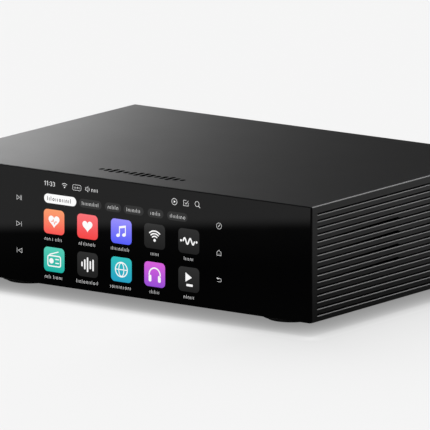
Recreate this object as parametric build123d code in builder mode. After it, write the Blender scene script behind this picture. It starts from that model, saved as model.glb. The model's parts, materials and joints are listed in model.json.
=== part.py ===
from build123d import *
import os

os.makedirs("parts", exist_ok=True)

# Desktop DAC with two folded antennas at the rear. Millimetres, +Z up, front faces -Y.
# Origin: centre of the footprint (antennas included), on the table.
# Most sizes are given in the case frame: x across from the middle, y behind the front
# glass, z above the case bottom. Left and right are as seen from the front.

# ---- case ----
WIDTH = 300.0
HALF_W = WIDTH / 2
CASE_DEPTH = 219.5       # front glass to rear lip
BODY_H = 74.5            # case height without feet
FOOT_H = 9.1             # clearance under the case
TOP_T = 3.0
SIDE_T = 4.5
PLATE_T = 2.0
PANEL_T = 2.0
REAR_LIP = 1.5           # lid overhang behind the rear panel
PANEL_Y = CASE_DEPTH - REAR_LIP - PANEL_T
REAR_Y = PANEL_Y + PANEL_T               # outer face of the rear panel
INNER_W = WIDTH - 2 * SIDE_T
INNER_Z = (PLATE_T + BODY_H - TOP_T) / 2  # middle between floor and lid
INSERT_W = INNER_W - 0.6                 # front frame and rear panel
INSERT_H = BODY_H - TOP_T - PLATE_T - 0.4
GAP = 0.05               # play between neighbouring pieces
SEAT_GAP = 0.02          # play under a socket's seat

# ---- antennas ----
ANT_X, ANT_Z = 132.0, 61.0
PIN_Y = 238.0            # tilt pivot
KNUCKLE_R = 4.6
FRONT_Y = -(PIN_Y + KNUCKLE_R) / 2       # world Y of the glass front

# ---- screw rails and M3 screws ----
RAIL_W = 8.0
RAIL_H = 6.0
RAIL_X = HALF_W - SIDE_T - RAIL_W / 2
RAIL_LOW_Z = PLATE_T + GAP + RAIL_H / 2
RAIL_HIGH_Z = BODY_H - TOP_T - RAIL_H / 2
CORNERS = [(side * RAIL_X, z) for side in (-1, 1) for z in (RAIL_LOW_Z, RAIL_HIGH_Z)]
FLOOR_SCREWS = [(side * RAIL_X, y) for side in (-1, 1) for y in (20.0, 80.0, 140.0, 200.0)]
THREAD_R = 1.5           # threaded hole
CLEAR_R = 1.6            # clearance hole
SINK_R = 3.1             # countersink in a plate

# ---- front ----
GLASS_T = 1.1
BOND_T = 0.2
SEAM = GLASS_T + BOND_T  # depth at which the case starts
FRAME_T = 4.0
DISPLAY_X = 1.7
DISPLAY_W = 142.0
DISPLAY_H = 68.5
DISPLAY_T = 2.4
KEY_LEFT_X = -79.8
KEY_RIGHT_X = 79.0
KEY_W, KEY_H, KEY_Z = 11.0, 60.0, 37.0

# ---- side grooves and vents ----
GROOVE_H = 1.0
GROOVE_DEPTH = 2.0
GROOVE_L = CASE_DEPTH - 2 * 7.3
GROOVE_Z = [68.68 - 4.32 * row for row in range(16)]  # groove floors, top down
VENT_ROWS = (4, 6, 8, 10)
VENT_SPANS = ((19.4, 97.0), (118.0, 195.6))
VENT_RISE = 0.87

# ---- feet ----
FOOT_R = 18.8
PAD_R = 15.5
PAD_RECESS = 1.1
FOOT_BASE = 1.55         # underside of a disc above the table
FOOT_X, FOOT_IN = 104.0, 43.5
FEET = [(side * FOOT_X, y) for side in (-1, 1) for y in (FOOT_IN, CASE_DEPTH - FOOT_IN)]

# ---- boards ----
BOARD_Z = 8.4            # underside of the circuit boards
BOARD_T = 1.6
DECK = BOARD_Z + BOARD_T # upper face of the boards
SEAT = DECK + SEAT_GAP   # underside of the sockets on the boards
MAIN_HOLES = [(x, y) for y in (123, 190) for x in (-85, 21)]
DAC_HOLES = [(x, y) for y in (133, 190) for x in (33, 131)]
PSU_HOLES = [(x, y) for y in (123, 168) for x in (-133.5, -97)]
STANDOFFS = MAIN_HOLES + DAC_HOLES + PSU_HOLES
CHIP_X, CHIP_Y, CHIP_T = -35.0, 155.0, 1.4   # processor under the heat sink

# ---- drive bay ----
SSD_X, SSD_Y = -30.0, 162.0
BAY_W, BAY_L, BAY_R = 36.0, 98.0, 3.0
SSD_SCREWS = [(SSD_X, SSD_Y + side * 45.5) for side in (-1, 1)]

# ---- transformer: stack of heights above the case bottom ----
TORUS_X, TORUS_Y = -68.0, 74.0
TORUS_H = 34.0
TORUS_PAD_T = 2.0
WASHER_T = 2.5
TORUS_Z = PLATE_T + TORUS_PAD_T
TORUS_TOP = TORUS_Z + TORUS_H
WASHER_Z = TORUS_TOP + TORUS_PAD_T

# ---- mains inlet ----
MAINS_X, MAINS_Z = -107.0, 29.5
ROCKER_Y, ROCKER_Z = 215.9, 45.0
FUSE_Z = 31.0
C14_Z = 15.1
MAINS_TABS = [(MAINS_X - 7.0, C14_Z - 2.0), (MAINS_X + 7.0, C14_Z - 2.0), (MAINS_X, C14_Z + 2.0)]

# ---- sockets ----
FLANGE_Y = REAR_Y + SEAT_GAP             # front of the flanges on the panel
XLR_X = (80.0, 112.0)
XLR_Z = 27.0
XLR_CENTRES = [(x, XLR_Z) for x in XLR_X]
XLR_SCREWS = [(x + side * 9.5, XLR_Z + side * 12.0) for x in XLR_X for side in (-1, 1)]
XLR_FLANGE_T = 1.98
XLR_PINS = [(x + dx, XLR_Z + dz) for x in XLR_X
            for dx, dz in ((-3.6, 1.6), (3.6, 1.6), (0, -3.4))]
RCA_CENTRES = [(x, z) for x in (54.0, 35.0) for z in (37.0, 18.5)]
RCA_BORE_R = 3.5
OPT_OUT_X, OPT_IN_X = 5.0, 18.0
OPT_CENTRES = [(x, DECK + 5.05) for x in (OPT_OUT_X, OPT_IN_X)]
FLAP_Y, FLAP_Z = REAR_Y - 0.2, DECK + 8.2    # pivot of the optical shutters
USB_B_X, LAN_X, USB_A_X, HDMI_X, TRIG_X = -25.0, -44.0, -62.0, -79.0, -10.0
ANT_CENTRES = [(side * ANT_X, ANT_Z) for side in (-1, 1)]
ANT_BORE_R = 3.16        # nuts and collars over the antenna sockets


# ---------------------------------------------------------------------------
# Planes and shared shapes
# ---------------------------------------------------------------------------

def upright(y):
    """Plane at depth y facing the front: local (x, z). Positive extrusion goes forward."""
    return Plane(origin=(0, FRONT_Y + y, FOOT_H), x_dir=(1, 0, 0), z_dir=(0, -1, 0))


def level(z):
    """Plane z above the case bottom: local (x, y)."""
    return Plane(origin=(0, FRONT_Y, FOOT_H + z), x_dir=(1, 0, 0), z_dir=(0, 0, 1))


def table(z):
    """Plane z above the table: local (x, y)."""
    return level(z - FOOT_H)


def sideways(x):
    """Plane at x facing right: local (y, z)."""
    return Plane(origin=(x, FRONT_Y, FOOT_H), x_dir=(0, 1, 0), z_dir=(1, 0, 0))


def down(x, y, z):
    """Plane at a point facing down, for holes drilled from below."""
    return Plane(origin=(x, FRONT_Y + y, FOOT_H + z), x_dir=(1, 0, 0), z_dir=(0, 0, -1))


def ahead(x, y, z):
    """Plane at a point facing the front, for holes drilled from the front."""
    return Plane(origin=(x, FRONT_Y + y, FOOT_H + z), x_dir=(1, 0, 0), z_dir=(0, -1, 0))


def back(x, y, z):
    """Plane at a point facing the rear, for holes drilled from the rear."""
    return Plane(origin=(x, FRONT_Y + y, FOOT_H + z), x_dir=(-1, 0, 0), z_dir=(0, 1, 0))


def end_edges(builder, axis, index):
    """Edges of the flat faces at one end (0 low, -1 high) of an axis."""
    return builder.faces().filter_by(axis).group_by(axis)[index].edges()


def countersunk_screw(length, shank_r=1.42, head_r=2.95, head_h=1.55,
                      socket_r=0.95, socket_depth=1.0):
    """Add a screw at each current location, head flush with it and shank behind."""
    below = (Align.CENTER, Align.CENTER, Align.MAX)
    Cylinder(radius=shank_r, height=length, align=below)
    Cone(bottom_radius=shank_r, top_radius=head_r, height=head_h, align=below)
    Cylinder(radius=socket_r, height=socket_depth, align=below, mode=Mode.SUBTRACT)


def stacked_boxes(layers, cans=()):
    """Layers are (base z, height, [(x, y, width, depth), ...]); cans are centres."""
    with BuildPart() as boxes:
        for base, height, outlines in layers:
            with BuildSketch(level(base)):
                for x, y, width, depth in outlines:
                    with Locations((x, y)):
                        Rectangle(width, depth)
            extrude(amount=height)
        if cans:
            with BuildSketch(level(DECK)):
                with Locations(*cans):
                    Circle(4.0)
            extrude(amount=12.0)
    return boxes.part


def wires(paths, radius, tangents=None):
    """Round wires along splines through points of the case frame."""
    with BuildPart() as bundle:
        for path in paths:
            with BuildLine() as lead:
                Spline(*[(x, FRONT_Y + y, FOOT_H + z) for x, y, z in path], tangents=tangents)
            with BuildSketch(Plane(origin=lead.line @ 0, z_dir=lead.line % 0)):
                Circle(radius)
            sweep(path=lead.line)
    return bundle.part


# ---------------------------------------------------------------------------
# Case
# ---------------------------------------------------------------------------

def top_cover():
    """Lid and both sides in one U-shaped section, with four screw rails inside."""
    rail_y = SEAM + FRAME_T + GAP
    with BuildPart() as cover:
        with BuildSketch(upright(SEAM)):
            with BuildLine():
                Polyline((-HALF_W, 0), (-HALF_W, BODY_H), (HALF_W, BODY_H), (HALF_W, 0),
                         (HALF_W - SIDE_T, 0), (HALF_W - SIDE_T, BODY_H - TOP_T),
                         (-HALF_W + SIDE_T, BODY_H - TOP_T), (-HALF_W + SIDE_T, 0), close=True)
            make_face()
        extrude(amount=SEAM - CASE_DEPTH)
        chamfer(cover.edges().filter_by(Axis.Y).group_by(Axis.Z)[-1], length=0.55)
        lower = cover.edges().filter_by(Axis.Y).group_by(Axis.Z)[0]
        chamfer(lower.filter_by_position(Axis.X, -HALF_W - 0.1, -HALF_W + 0.1)
                + lower.filter_by_position(Axis.X, HALF_W - 0.1, HALF_W + 0.1), length=0.3)
        # broken outer edge of the front opening, next to the glass
        rim = cover.faces().filter_by(Axis.Y).sort_by(Axis.Y)[0].edges()
        lid_z = FOOT_H + BODY_H
        chamfer(rim.filter_by_position(Axis.Z, lid_z - 0.6, lid_z + 0.1)
                + rim.filter_by_position(Axis.X, -HALF_W - 0.1, -HALF_W + 0.1)
                + rim.filter_by_position(Axis.X, HALF_W - 0.1, HALF_W + 0.1), length=0.4)
        with BuildSketch(upright(rail_y)):
            with Locations(*CORNERS):
                Rectangle(RAIL_W, RAIL_H)
        extrude(amount=rail_y - (PANEL_Y - GAP))
        # cooling grooves along both sides
        for side in (-1, 1):
            with BuildSketch(sideways(side * HALF_W)):
                with Locations(*[(CASE_DEPTH / 2, z + GROOVE_H / 2) for z in GROOVE_Z]):
                    Rectangle(GROOVE_L, GROOVE_H)
            extrude(amount=-side * GROOVE_DEPTH, mode=Mode.SUBTRACT)
        # slope the lower lip of every groove
        lips = ShapeList()
        for side in (-1, 1):
            outer = cover.edges().filter_by(Axis.Y).filter_by_position(
                Axis.X, side * HALF_W - 0.01, side * HALF_W + 0.01)
            for z in GROOVE_Z:
                lips += outer.filter_by_position(Axis.Z, FOOT_H + z - 0.01, FOOT_H + z + 0.01)
        chamfer(lips, length=0.6)
        # vent pockets: a groove grows taller towards the rear and opens into the case
        for side in (-1, 1):
            for row in VENT_ROWS:
                for start, end in VENT_SPANS:
                    z = GROOVE_Z[row]
                    top = z + GROOVE_H
                    with BuildSketch(sideways(side * (HALF_W + 0.5))):
                        with BuildLine():
                            Polyline((start, z), (start, top), (end - 0.8, top + VENT_RISE),
                                     (end, top + VENT_RISE - 0.6), (end, z), close=True)
                        make_face()
                    extrude(amount=-side * (SIDE_T + 1.0), mode=Mode.SUBTRACT)
        # threaded holes for the bottom, front and rear screws
        with Locations(*[down(x, y, PLATE_T + GAP) for x, y in FLOOR_SCREWS]):
            Hole(radius=THREAD_R, depth=5.0)
        with Locations(*[ahead(x, rail_y, z) for x, z in CORNERS]):
            Hole(radius=THREAD_R, depth=8.0)
        with Locations(*[back(x, PANEL_Y - GAP, z) for x, z in CORNERS]):
            Hole(radius=THREAD_R, depth=8.0)
    return cover.part


def bottom_plate():
    """Floor of the case with foot bosses, drive bay and air slots."""
    with BuildPart() as plate:
        with BuildSketch(level(0)):
            with Locations((0, (SEAM + CASE_DEPTH) / 2)):
                Rectangle(INNER_W - 0.4, CASE_DEPTH - SEAM - 0.3)
        extrude(amount=PLATE_T)
        with BuildSketch(level(PLATE_T)):
            with Locations(*FEET):
                Circle(4.0)
        extrude(amount=2.6)
        with Locations(*[down(x, y, 0) for x, y in FEET]):
            Hole(radius=2.0, depth=6.0)
        with Locations(*[down(x, y, 0) for x, y in FLOOR_SCREWS]):
            CounterSinkHole(radius=CLEAR_R, counter_sink_radius=SINK_R, depth=4.0)
        with Locations(down(TORUS_X, TORUS_Y, 0)):
            CounterSinkHole(radius=3.1, counter_sink_radius=4.9, depth=4.0)
        # drive bay: shallow recess for its lid, opening inside it
        for width, length, radius, depth in ((BAY_W, BAY_L, BAY_R, 1.2), (28.0, 84.0, 2.0, 3.0)):
            with BuildSketch(level(0)):
                with Locations((SSD_X, SSD_Y)):
                    RectangleRounded(width, length, radius)
            extrude(amount=depth, mode=Mode.SUBTRACT)
        with Locations(*[down(x, y, 0) for x, y in SSD_SCREWS]):
            Hole(radius=1.3, depth=4.0)
        # air slots: count, centre of the row, slot length
        with BuildSketch(level(0)):
            for count, x, y, length in ((9, 82.0, 110.0, 34.0), (7, -114.0, 100.0, 26.0)):
                with Locations((x, y)):
                    with GridLocations(7.0, 0, count, 1):
                        SlotOverall(length, 2.6, rotation=90)
        extrude(amount=3.0, mode=Mode.SUBTRACT)
    return plate.part


# rectangular openings of the rear panel: x, z, width, height
PANEL_WINDOWS = [
    (MAINS_X, MAINS_Z, 27.6, 47.6),
    (OPT_OUT_X, DECK + 5.05, 10.4, 10.6),
    (OPT_IN_X, DECK + 5.05, 10.4, 10.6),
    (USB_B_X, DECK + 5.55, 12.6, 11.6),
    (LAN_X, DECK + 6.75, 16.6, 14.0),
    (USB_A_X, DECK + 7.85, 13.8, 16.2),
    (HDMI_X, DECK + 3.05, 15.8, 6.6),
]
# round openings of the rear panel: centres, radius
PANEL_ROUNDS = [
    (XLR_CENTRES, 11.4),
    (RCA_CENTRES, 4.9),
    (ANT_CENTRES, 3.25),
    ([(TRIG_X, DECK + 5.0)], 4.1),
]


def rear_panel():
    """Rear panel, set inside the lid's rear lip."""
    with BuildPart() as panel:
        with BuildSketch(upright(PANEL_Y)):
            with Locations((0, INNER_Z)):
                Rectangle(INSERT_W, INSERT_H)
        extrude(amount=-PANEL_T)
        with BuildSketch(upright(PANEL_Y - 0.5)):
            for x, z, width, height in PANEL_WINDOWS:
                with Locations((x, z)):
                    Rectangle(width, height)
            for centres, radius in PANEL_ROUNDS:
                with Locations(*centres):
                    Circle(radius)
            # outlet slots above the sockets
            with Locations((-20.0, 57.0)):
                with GridLocations(8.0, 0, 15, 1):
                    SlotOverall(15.0, 2.6, rotation=90)
        extrude(amount=-(PANEL_T + 1.0), mode=Mode.SUBTRACT)
        with Locations(*[back(x, REAR_Y, z) for x, z in CORNERS]):
            CounterSinkHole(radius=CLEAR_R, counter_sink_radius=SINK_R, depth=3.0)
        with Locations(*[back(x, REAR_Y, z) for x, z in XLR_SCREWS]):
            Hole(radius=THREAD_R, depth=3.0)
    return panel.part


def ssd_cover():
    """Lid of the drive bay, with nine shallow grooves in its underside."""
    with BuildPart() as lid:
        with BuildSketch(level(GAP)):
            with Locations((SSD_X, SSD_Y)):
                RectangleRounded(BAY_W - 0.4, BAY_L - 0.4, BAY_R - 0.2)
        extrude(amount=1.1)
        with BuildSketch(level(GAP)):
            with Locations((SSD_X, SSD_Y)):
                with GridLocations(0, 6.0, 1, 9):
                    SlotOverall(20.0, 1.6)
        extrude(amount=0.5, mode=Mode.SUBTRACT)
        with Locations(*[down(x, y, GAP) for x, y in SSD_SCREWS]):
            Hole(radius=1.35, depth=2.0)
    return lid.part


# ---------------------------------------------------------------------------
# Front
# ---------------------------------------------------------------------------

def front_glass():
    with BuildPart() as glass:
        with BuildSketch(upright(0)):
            with Locations((0, BODY_H / 2)):
                RectangleRounded(WIDTH, BODY_H, 1.0)
        extrude(amount=-GLASS_T)
        fillet(glass.faces().sort_by(Axis.Y)[0].edges(), radius=0.35)
    return glass.part


def glass_adhesive():
    """One pad at each side of the display and the clear bond over it."""
    pad_outer_x = 144.8
    pad_inner = DISPLAY_W / 2 + 1.2      # from the display's centre
    with BuildPart() as adhesive:
        with BuildSketch(upright(GLASS_T)):
            for side in (-1, 1):
                outer = side * pad_outer_x
                inner = DISPLAY_X + side * pad_inner
                with Locations(((outer + inner) / 2, INNER_Z)):
                    Rectangle(abs(outer - inner), 68.3)
            with Locations((DISPLAY_X, INNER_Z)):
                Rectangle(138.0, 67.6)
        extrude(amount=-BOND_T)
    return adhesive.part


def front_frame():
    """Carrier behind the glass: display pocket, three windows, key board pockets."""
    with BuildPart() as frame:
        with BuildSketch(upright(SEAM)):
            with Locations((0, INNER_Z)):
                Rectangle(INSERT_W, INSERT_H)
        extrude(amount=-FRAME_T)
        with BuildSketch(upright(SEAM)):
            with Locations((DISPLAY_X, INNER_Z)):
                Rectangle(DISPLAY_W + 0.4, 80.0)
        extrude(amount=-(DISPLAY_T + GAP), mode=Mode.SUBTRACT)
        with BuildSketch(upright(SEAM)):
            with Locations((DISPLAY_X, 37.0)):
                RectangleRounded(123.0, 50.0, 3.0)
            with Locations((-112.0, 37.0), (115.0, 37.0)):
                RectangleRounded(34.0, 46.0, 3.0)
        extrude(amount=-(FRAME_T + 1), mode=Mode.SUBTRACT)
        with BuildSketch(upright(SEAM)):
            with Locations((KEY_LEFT_X, KEY_Z), (KEY_RIGHT_X, KEY_Z)):
                Rectangle(KEY_W + 0.4, KEY_H + 0.4)
        extrude(amount=-1.25, mode=Mode.SUBTRACT)
        with Locations(*[ahead(x, SEAM, z) for x, z in CORNERS]):
            CounterSinkHole(radius=CLEAR_R, counter_sink_radius=SINK_R, depth=6.0)
    return frame.part


def display_module():
    """Display panel with a slightly smaller body behind it."""
    panel_t = 1.0
    with BuildPart() as display:
        with BuildSketch(upright(SEAM)):
            with Locations((DISPLAY_X, INNER_Z)):
                RectangleRounded(DISPLAY_W, DISPLAY_H, 0.8)
        extrude(amount=-panel_t)
        with BuildSketch(upright(SEAM + panel_t)):
            with Locations((DISPLAY_X, INNER_Z)):
                RectangleRounded(DISPLAY_W - 1.6, DISPLAY_H - 1.2, 1.2)
        extrude(amount=-(DISPLAY_T - panel_t))
    return display.part


def touch_board(x):
    with BuildPart() as board:
        with BuildSketch(upright(SEAM)):
            with Locations((x, KEY_Z)):
                RectangleRounded(KEY_W, KEY_H, 0.8)
        extrude(amount=-1.0)
    return board.part


def display_ribbon():
    """Flat cable from the back of the display down to the main board."""
    width = 24.0
    # (y, z) round the bent strip, 0.3 thick
    outline = [(3.75, 20.15), (9.15, 20.15), (9.15, 13.65), (121.9, 13.65),
               (121.9, 13.35), (8.85, 13.35), (8.85, 19.85), (3.75, 19.85)]
    with BuildPart() as ribbon:
        with BuildSketch(sideways(-width / 2)):
            with BuildLine():
                Polyline(*outline, close=True)
            make_face()
        extrude(amount=width)
    return ribbon.part


# ---------------------------------------------------------------------------
# Feet
# ---------------------------------------------------------------------------

FOOT_HEAD_Z = 2.9        # underside of a foot screw's head above the table
FOOT_HEAD_H = 2.2


def feet():
    """Four turned discs, each with a recess for its rubber pad."""
    recess_top = FOOT_BASE + PAD_RECESS
    with BuildPart() as discs:
        with BuildSketch(table(FOOT_BASE)):
            with Locations(*FEET):
                Circle(FOOT_R)
        extrude(amount=FOOT_H - FOOT_BASE)
        chamfer(end_edges(discs, Axis.Z, 0), length=0.5)
        # waist line turned into the rim
        with BuildSketch(table(6.3)):
            with Locations(*FEET):
                Circle(FOOT_R + 1.0)
                Circle(FOOT_R - 0.6, mode=Mode.SUBTRACT)
        extrude(amount=0.9, mode=Mode.SUBTRACT)
        with BuildSketch(table(FOOT_BASE)):
            with Locations(*FEET):
                Circle(PAD_R + 0.1)
        extrude(amount=PAD_RECESS, mode=Mode.SUBTRACT)
        with Locations(*[down(x, y, recess_top - FOOT_H) for x, y in FEET]):
            CounterBoreHole(radius=2.1, counter_bore_radius=3.8, counter_bore_depth=2.6, depth=10)
    return discs.part


def foot_pads():
    with BuildPart() as pads:
        with BuildSketch(table(0)):
            with Locations(*FEET):
                Circle(PAD_R)
        extrude(amount=FOOT_BASE + PAD_RECESS - GAP)
        chamfer(end_edges(pads, Axis.Z, 0), length=0.4)
    return pads.part


def foot_screws():
    shank_z = FOOT_HEAD_Z + FOOT_HEAD_H
    with BuildPart() as screws:
        with BuildSketch(table(FOOT_HEAD_Z)):
            with Locations(*FEET):
                Circle(3.5)
        extrude(amount=FOOT_HEAD_H)
        with BuildSketch(table(shank_z)):
            with Locations(*FEET):
                Circle(1.95)
        extrude(amount=FOOT_H + 4.2 - shank_z)
        with BuildSketch(table(FOOT_HEAD_Z)):
            with Locations(*FEET):
                RegularPolygon(radius=1.4, side_count=6)
        extrude(amount=1.4, mode=Mode.SUBTRACT)
    return screws.part


# ---------------------------------------------------------------------------
# Fasteners
# ---------------------------------------------------------------------------

def bottom_screws():
    with BuildPart() as screws:
        with Locations(*[down(x, y, GAP) for x, y in FLOOR_SCREWS]):
            countersunk_screw(6.2)
    return screws.part


def rear_screws():
    """Four panel screws and two in the flange of each balanced output."""
    with BuildPart() as screws:
        with Locations(*[back(x, REAR_Y - GAP, z) for x, z in CORNERS]):
            countersunk_screw(8.0)
        with Locations(*[back(x, FLANGE_Y + XLR_FLANGE_T - GAP, z) for x, z in XLR_SCREWS]):
            countersunk_screw(7.0)
    return screws.part


def frame_screws():
    with BuildPart() as screws:
        with Locations(*[ahead(x, SEAM + GAP, z) for x, z in CORNERS]):
            countersunk_screw(10.0)
    return screws.part


def ssd_cover_screws():
    """Pan heads below the drive bay's lid."""
    head_h = 1.1
    with BuildPart() as screws:
        with Locations(*[down(x, y, GAP) for x, y in SSD_SCREWS]):
            Cylinder(radius=2.4, height=head_h, align=(Align.CENTER, Align.CENTER, Align.MIN))
            Cylinder(radius=1.22, height=3.0, align=(Align.CENTER, Align.CENTER, Align.MAX))
        with Locations(*[down(x, y, GAP - head_h) for x, y in SSD_SCREWS]):
            Cylinder(radius=0.8, height=0.7, align=(Align.CENTER, Align.CENTER, Align.MAX),
                     mode=Mode.SUBTRACT)
    return screws.part


def board_standoffs():
    with BuildPart() as standoffs:
        with BuildSketch(level(PLATE_T)):
            with Locations(*STANDOFFS):
                RegularPolygon(radius=3.1, side_count=6)
                Circle(1.45, mode=Mode.SUBTRACT)
        extrude(amount=BOARD_Z - PLATE_T)
    return standoffs.part


def board_screws():
    tip_z = 4.4
    with BuildPart() as screws:
        with BuildSketch(level(tip_z)):
            with Locations(*STANDOFFS):
                Circle(1.4)
        extrude(amount=DECK - tip_z)
        with BuildSketch(level(DECK)):
            with Locations(*STANDOFFS):
                Circle(2.8)
                RegularPolygon(radius=1.1, side_count=4, mode=Mode.SUBTRACT)
        extrude(amount=1.8)
    return screws.part


# ---------------------------------------------------------------------------
# Boards
# ---------------------------------------------------------------------------

def circuit_board(x, y, width, depth, holes):
    with BuildPart() as board:
        with BuildSketch(level(BOARD_Z)):
            with Locations((x, y)):
                RectangleRounded(width, depth, 1.5)
            with Locations(*holes):
                Circle(1.6, mode=Mode.SUBTRACT)
        extrude(amount=BOARD_T)
    return board.part


def main_board_parts():
    """Chips, memory, wireless module, cable headers and the drive socket underneath."""
    return stacked_boxes([
        (DECK, CHIP_T, [(CHIP_X, CHIP_Y, 19.0, 19.0), (-12.0, 150, 9.0, 11.0),
                        (-12.0, 163, 9.0, 11.0), (8.0, 165, 14.0, 14.0)]),
        (DECK, 2.6, [(-60.0, 166, 15.0, 13.0), (-62.0, 148, 6.0, 6.0), (-70.0, 148, 6.0, 6.0)]),
        (DECK, 3.2, [(0.0, 124, 26.0, 5.5)]),
        (DECK, 7.0, [(-72.0, 130, 14.0, 6.0)]),
        (BOARD_Z, -4.1, [(SSD_X, 206, 22.0, 6.0)]),
    ])


def processor_heatsink():
    size, base_t = 34.0, 2.5
    fin_pitch, fin_t, fin_h = 3.6, 1.2, 9.0
    base_z = DECK + CHIP_T
    return stacked_boxes([
        (base_z, base_t, [(CHIP_X, CHIP_Y, size, size)]),
        (base_z + base_t, fin_h,
         [(CHIP_X + fin_pitch * k, CHIP_Y, fin_t, size) for k in range(-4, 5)]),
    ])


def ssd_module():
    """Drive board with three chips on its underside."""
    board_z = 4.6
    return stacked_boxes([
        (board_z, 0.8, [(SSD_X, SSD_Y, 22.0, 80.0)]),
        (board_z, -1.2, [(SSD_X, y, 14.0, 14.0) for y in (142, 160, 180)]),
    ])


def dac_board_parts():
    """Converter chips and op-amps, film capacitors, output relays and four round cans."""
    op_amps = [(82.0 + 13.0 * k, y, 5.0, 6.0) for k in (-1.5, -0.5, 0.5, 1.5)
               for y in (163.5, 172.5)]
    return stacked_boxes([
        (DECK, 1.5, [(62.0, 150, 12.0, 12.0), (102.0, 150, 12.0, 12.0)] + op_amps),
        (DECK, 9.0, [(54.5 + 11.0 * k, 183, 3.5, 7.5) for k in range(6)]),
        (DECK, 10.0, [(44.0, 186, 7.5, 15.0), (56.0, 196, 7.5, 15.0)]),
    ], cans=[(x, 136) for x in (44.0, 54.0, 110.0, 120.0)])


def psu_board_parts():
    """Heat sink with a regulator at each end, and terminal blocks."""
    return stacked_boxes([
        (DECK, 24.0, [(-101.0, 148, 4.0, 26.0), (-99.0, 139, 12.0, 1.5),
                      (-99.0, 157, 12.0, 1.5)]),
        (DECK, 9.0, [(-118.0, 177, 26.0, 8.0), (-116.0, 122, 24.0, 7.0)]),
    ])


def psu_capacitors():
    """Four cans with a cross scored in each top."""
    height = 30.0
    centres = [(x, y) for y in (136, 154) for x in (-130.5, -113.5)]
    with BuildPart() as cans:
        with BuildSketch(level(DECK)):
            with Locations(*centres):
                Circle(8.0)
        extrude(amount=height)
        fillet(end_edges(cans, Axis.Z, -1), radius=0.8)
        with BuildSketch(level(DECK + height)):
            with Locations(*centres):
                Rectangle(10.0, 0.8)
                Rectangle(0.8, 10.0)
        extrude(amount=-0.4, mode=Mode.SUBTRACT)
    return cans.part


# ---------------------------------------------------------------------------
# Transformer
# ---------------------------------------------------------------------------

def transformer():
    with BuildPart() as torus:
        with BuildSketch(level(TORUS_Z)):
            with Locations((TORUS_X, TORUS_Y)):
                Circle(40.0)
                Circle(14.0, mode=Mode.SUBTRACT)
        extrude(amount=TORUS_H)
        fillet(torus.edges().filter_by(GeomType.CIRCLE), radius=6.0)
    return torus.part


def transformer_pads():
    """A washer-shaped pad below and one above the transformer."""
    with BuildPart() as pads:
        for z, radius in ((PLATE_T, 38.0), (TORUS_TOP, 34.0)):
            with BuildSketch(level(z)):
                with Locations((TORUS_X, TORUS_Y)):
                    Circle(radius)
                    Circle(6.0, mode=Mode.SUBTRACT)
            extrude(amount=TORUS_PAD_T)
    return pads.part


def transformer_washer():
    with BuildPart() as washer:
        with BuildSketch(level(WASHER_Z)):
            with Locations((TORUS_X, TORUS_Y)):
                Circle(32.0)
                Circle(3.2, mode=Mode.SUBTRACT)
        extrude(amount=WASHER_T)
        top = washer.faces().filter_by(Axis.Z).sort_by(Axis.Z)[-1]
        chamfer(top.outer_wire().edges(), length=1.8)
    return washer.part


def transformer_bolt():
    """Countersunk bolt through the floor, with its nut on the washer."""
    with BuildPart() as bolt:
        with Locations(down(TORUS_X, TORUS_Y, GAP)):
            countersunk_screw(50.0, shank_r=2.95, head_r=4.7, head_h=1.75,
                              socket_r=1.8, socket_depth=1.4)
        with BuildSketch(level(WASHER_Z + WASHER_T)):
            with Locations((TORUS_X, TORUS_Y)):
                RegularPolygon(radius=5.8, side_count=6)
                Circle(3.05, mode=Mode.SUBTRACT)
        extrude(amount=5.0)
    return bolt.part


# ---------------------------------------------------------------------------
# Wiring: each path lists (x, y, z) points of the case frame
# ---------------------------------------------------------------------------

def transformer_leads():
    """Four leads from the windings to the supply board."""
    paths = [[(-100.0 - 2 * k, 100.0 - 3 * k, 38.0),
              (-104.0 - 3 * k, 112.0, 36.0),
              (-107.0 - 6 * k, 122.0, 19.1)] for k in range(4)]
    return wires(paths, radius=1.0, tangents=[(-0.3, 1, 0.4), (0, 0, -1)])


def mains_wires():
    """Three mains conductors from the inlet tabs to the supply board."""
    paths = [[(MAINS_X - 7 + 7 * k, 182.5, C14_Z + 2 * (k == 1)),
              (MAINS_X - 9 + 6.5 * k, 182.0, 20.5),
              (-119.5 + 6.2 * k, 180.0, 25.0),
              (-124.0 + 6 * k, 177.0, 20.2)] for k in range(3)]
    return wires(paths, radius=1.1)


def power_harness():
    """Four wires from the supply board to the main board."""
    paths = [[(-92.6, 128.0 + 2.2 * k, 12.5),
              (-86.0, 129.0 + 1.6 * k, 15.5),
              (-79.3, 128.0 + 1.4 * k, 14.0)] for k in range(4)]
    return wires(paths, radius=0.6, tangents=[(1, 0, 0.6), (1, 0, -0.3)])


def antenna_leads():
    """Thin coaxial leads from the antenna sockets to the wireless module."""
    left = [(-ANT_X, 205.6, ANT_Z), (-131.0, 198.0, 61.0), (-122.0, 188.0, 60.0),
            (-98.0, 184.0, 56.0), (-72.0, 178.0, 40.0), (-62.0, 166.0, DECK + 3.0)]
    right = [(ANT_X, 205.6, ANT_Z), (131.0, 198.0, 61.0), (116.0, 188.0, 60.0),
             (60.0, 185.0, 58.0), (0.0, 184.0, 52.0), (-44.0, 176.0, 36.0),
             (-57.0, 166.0, DECK + 3.0)]
    return wires([left, right], radius=0.6)


# ---------------------------------------------------------------------------
# Mains inlet
# ---------------------------------------------------------------------------

CUT_Y = REAR_Y + 3.0     # start of the cuts made from behind the flanges


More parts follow.
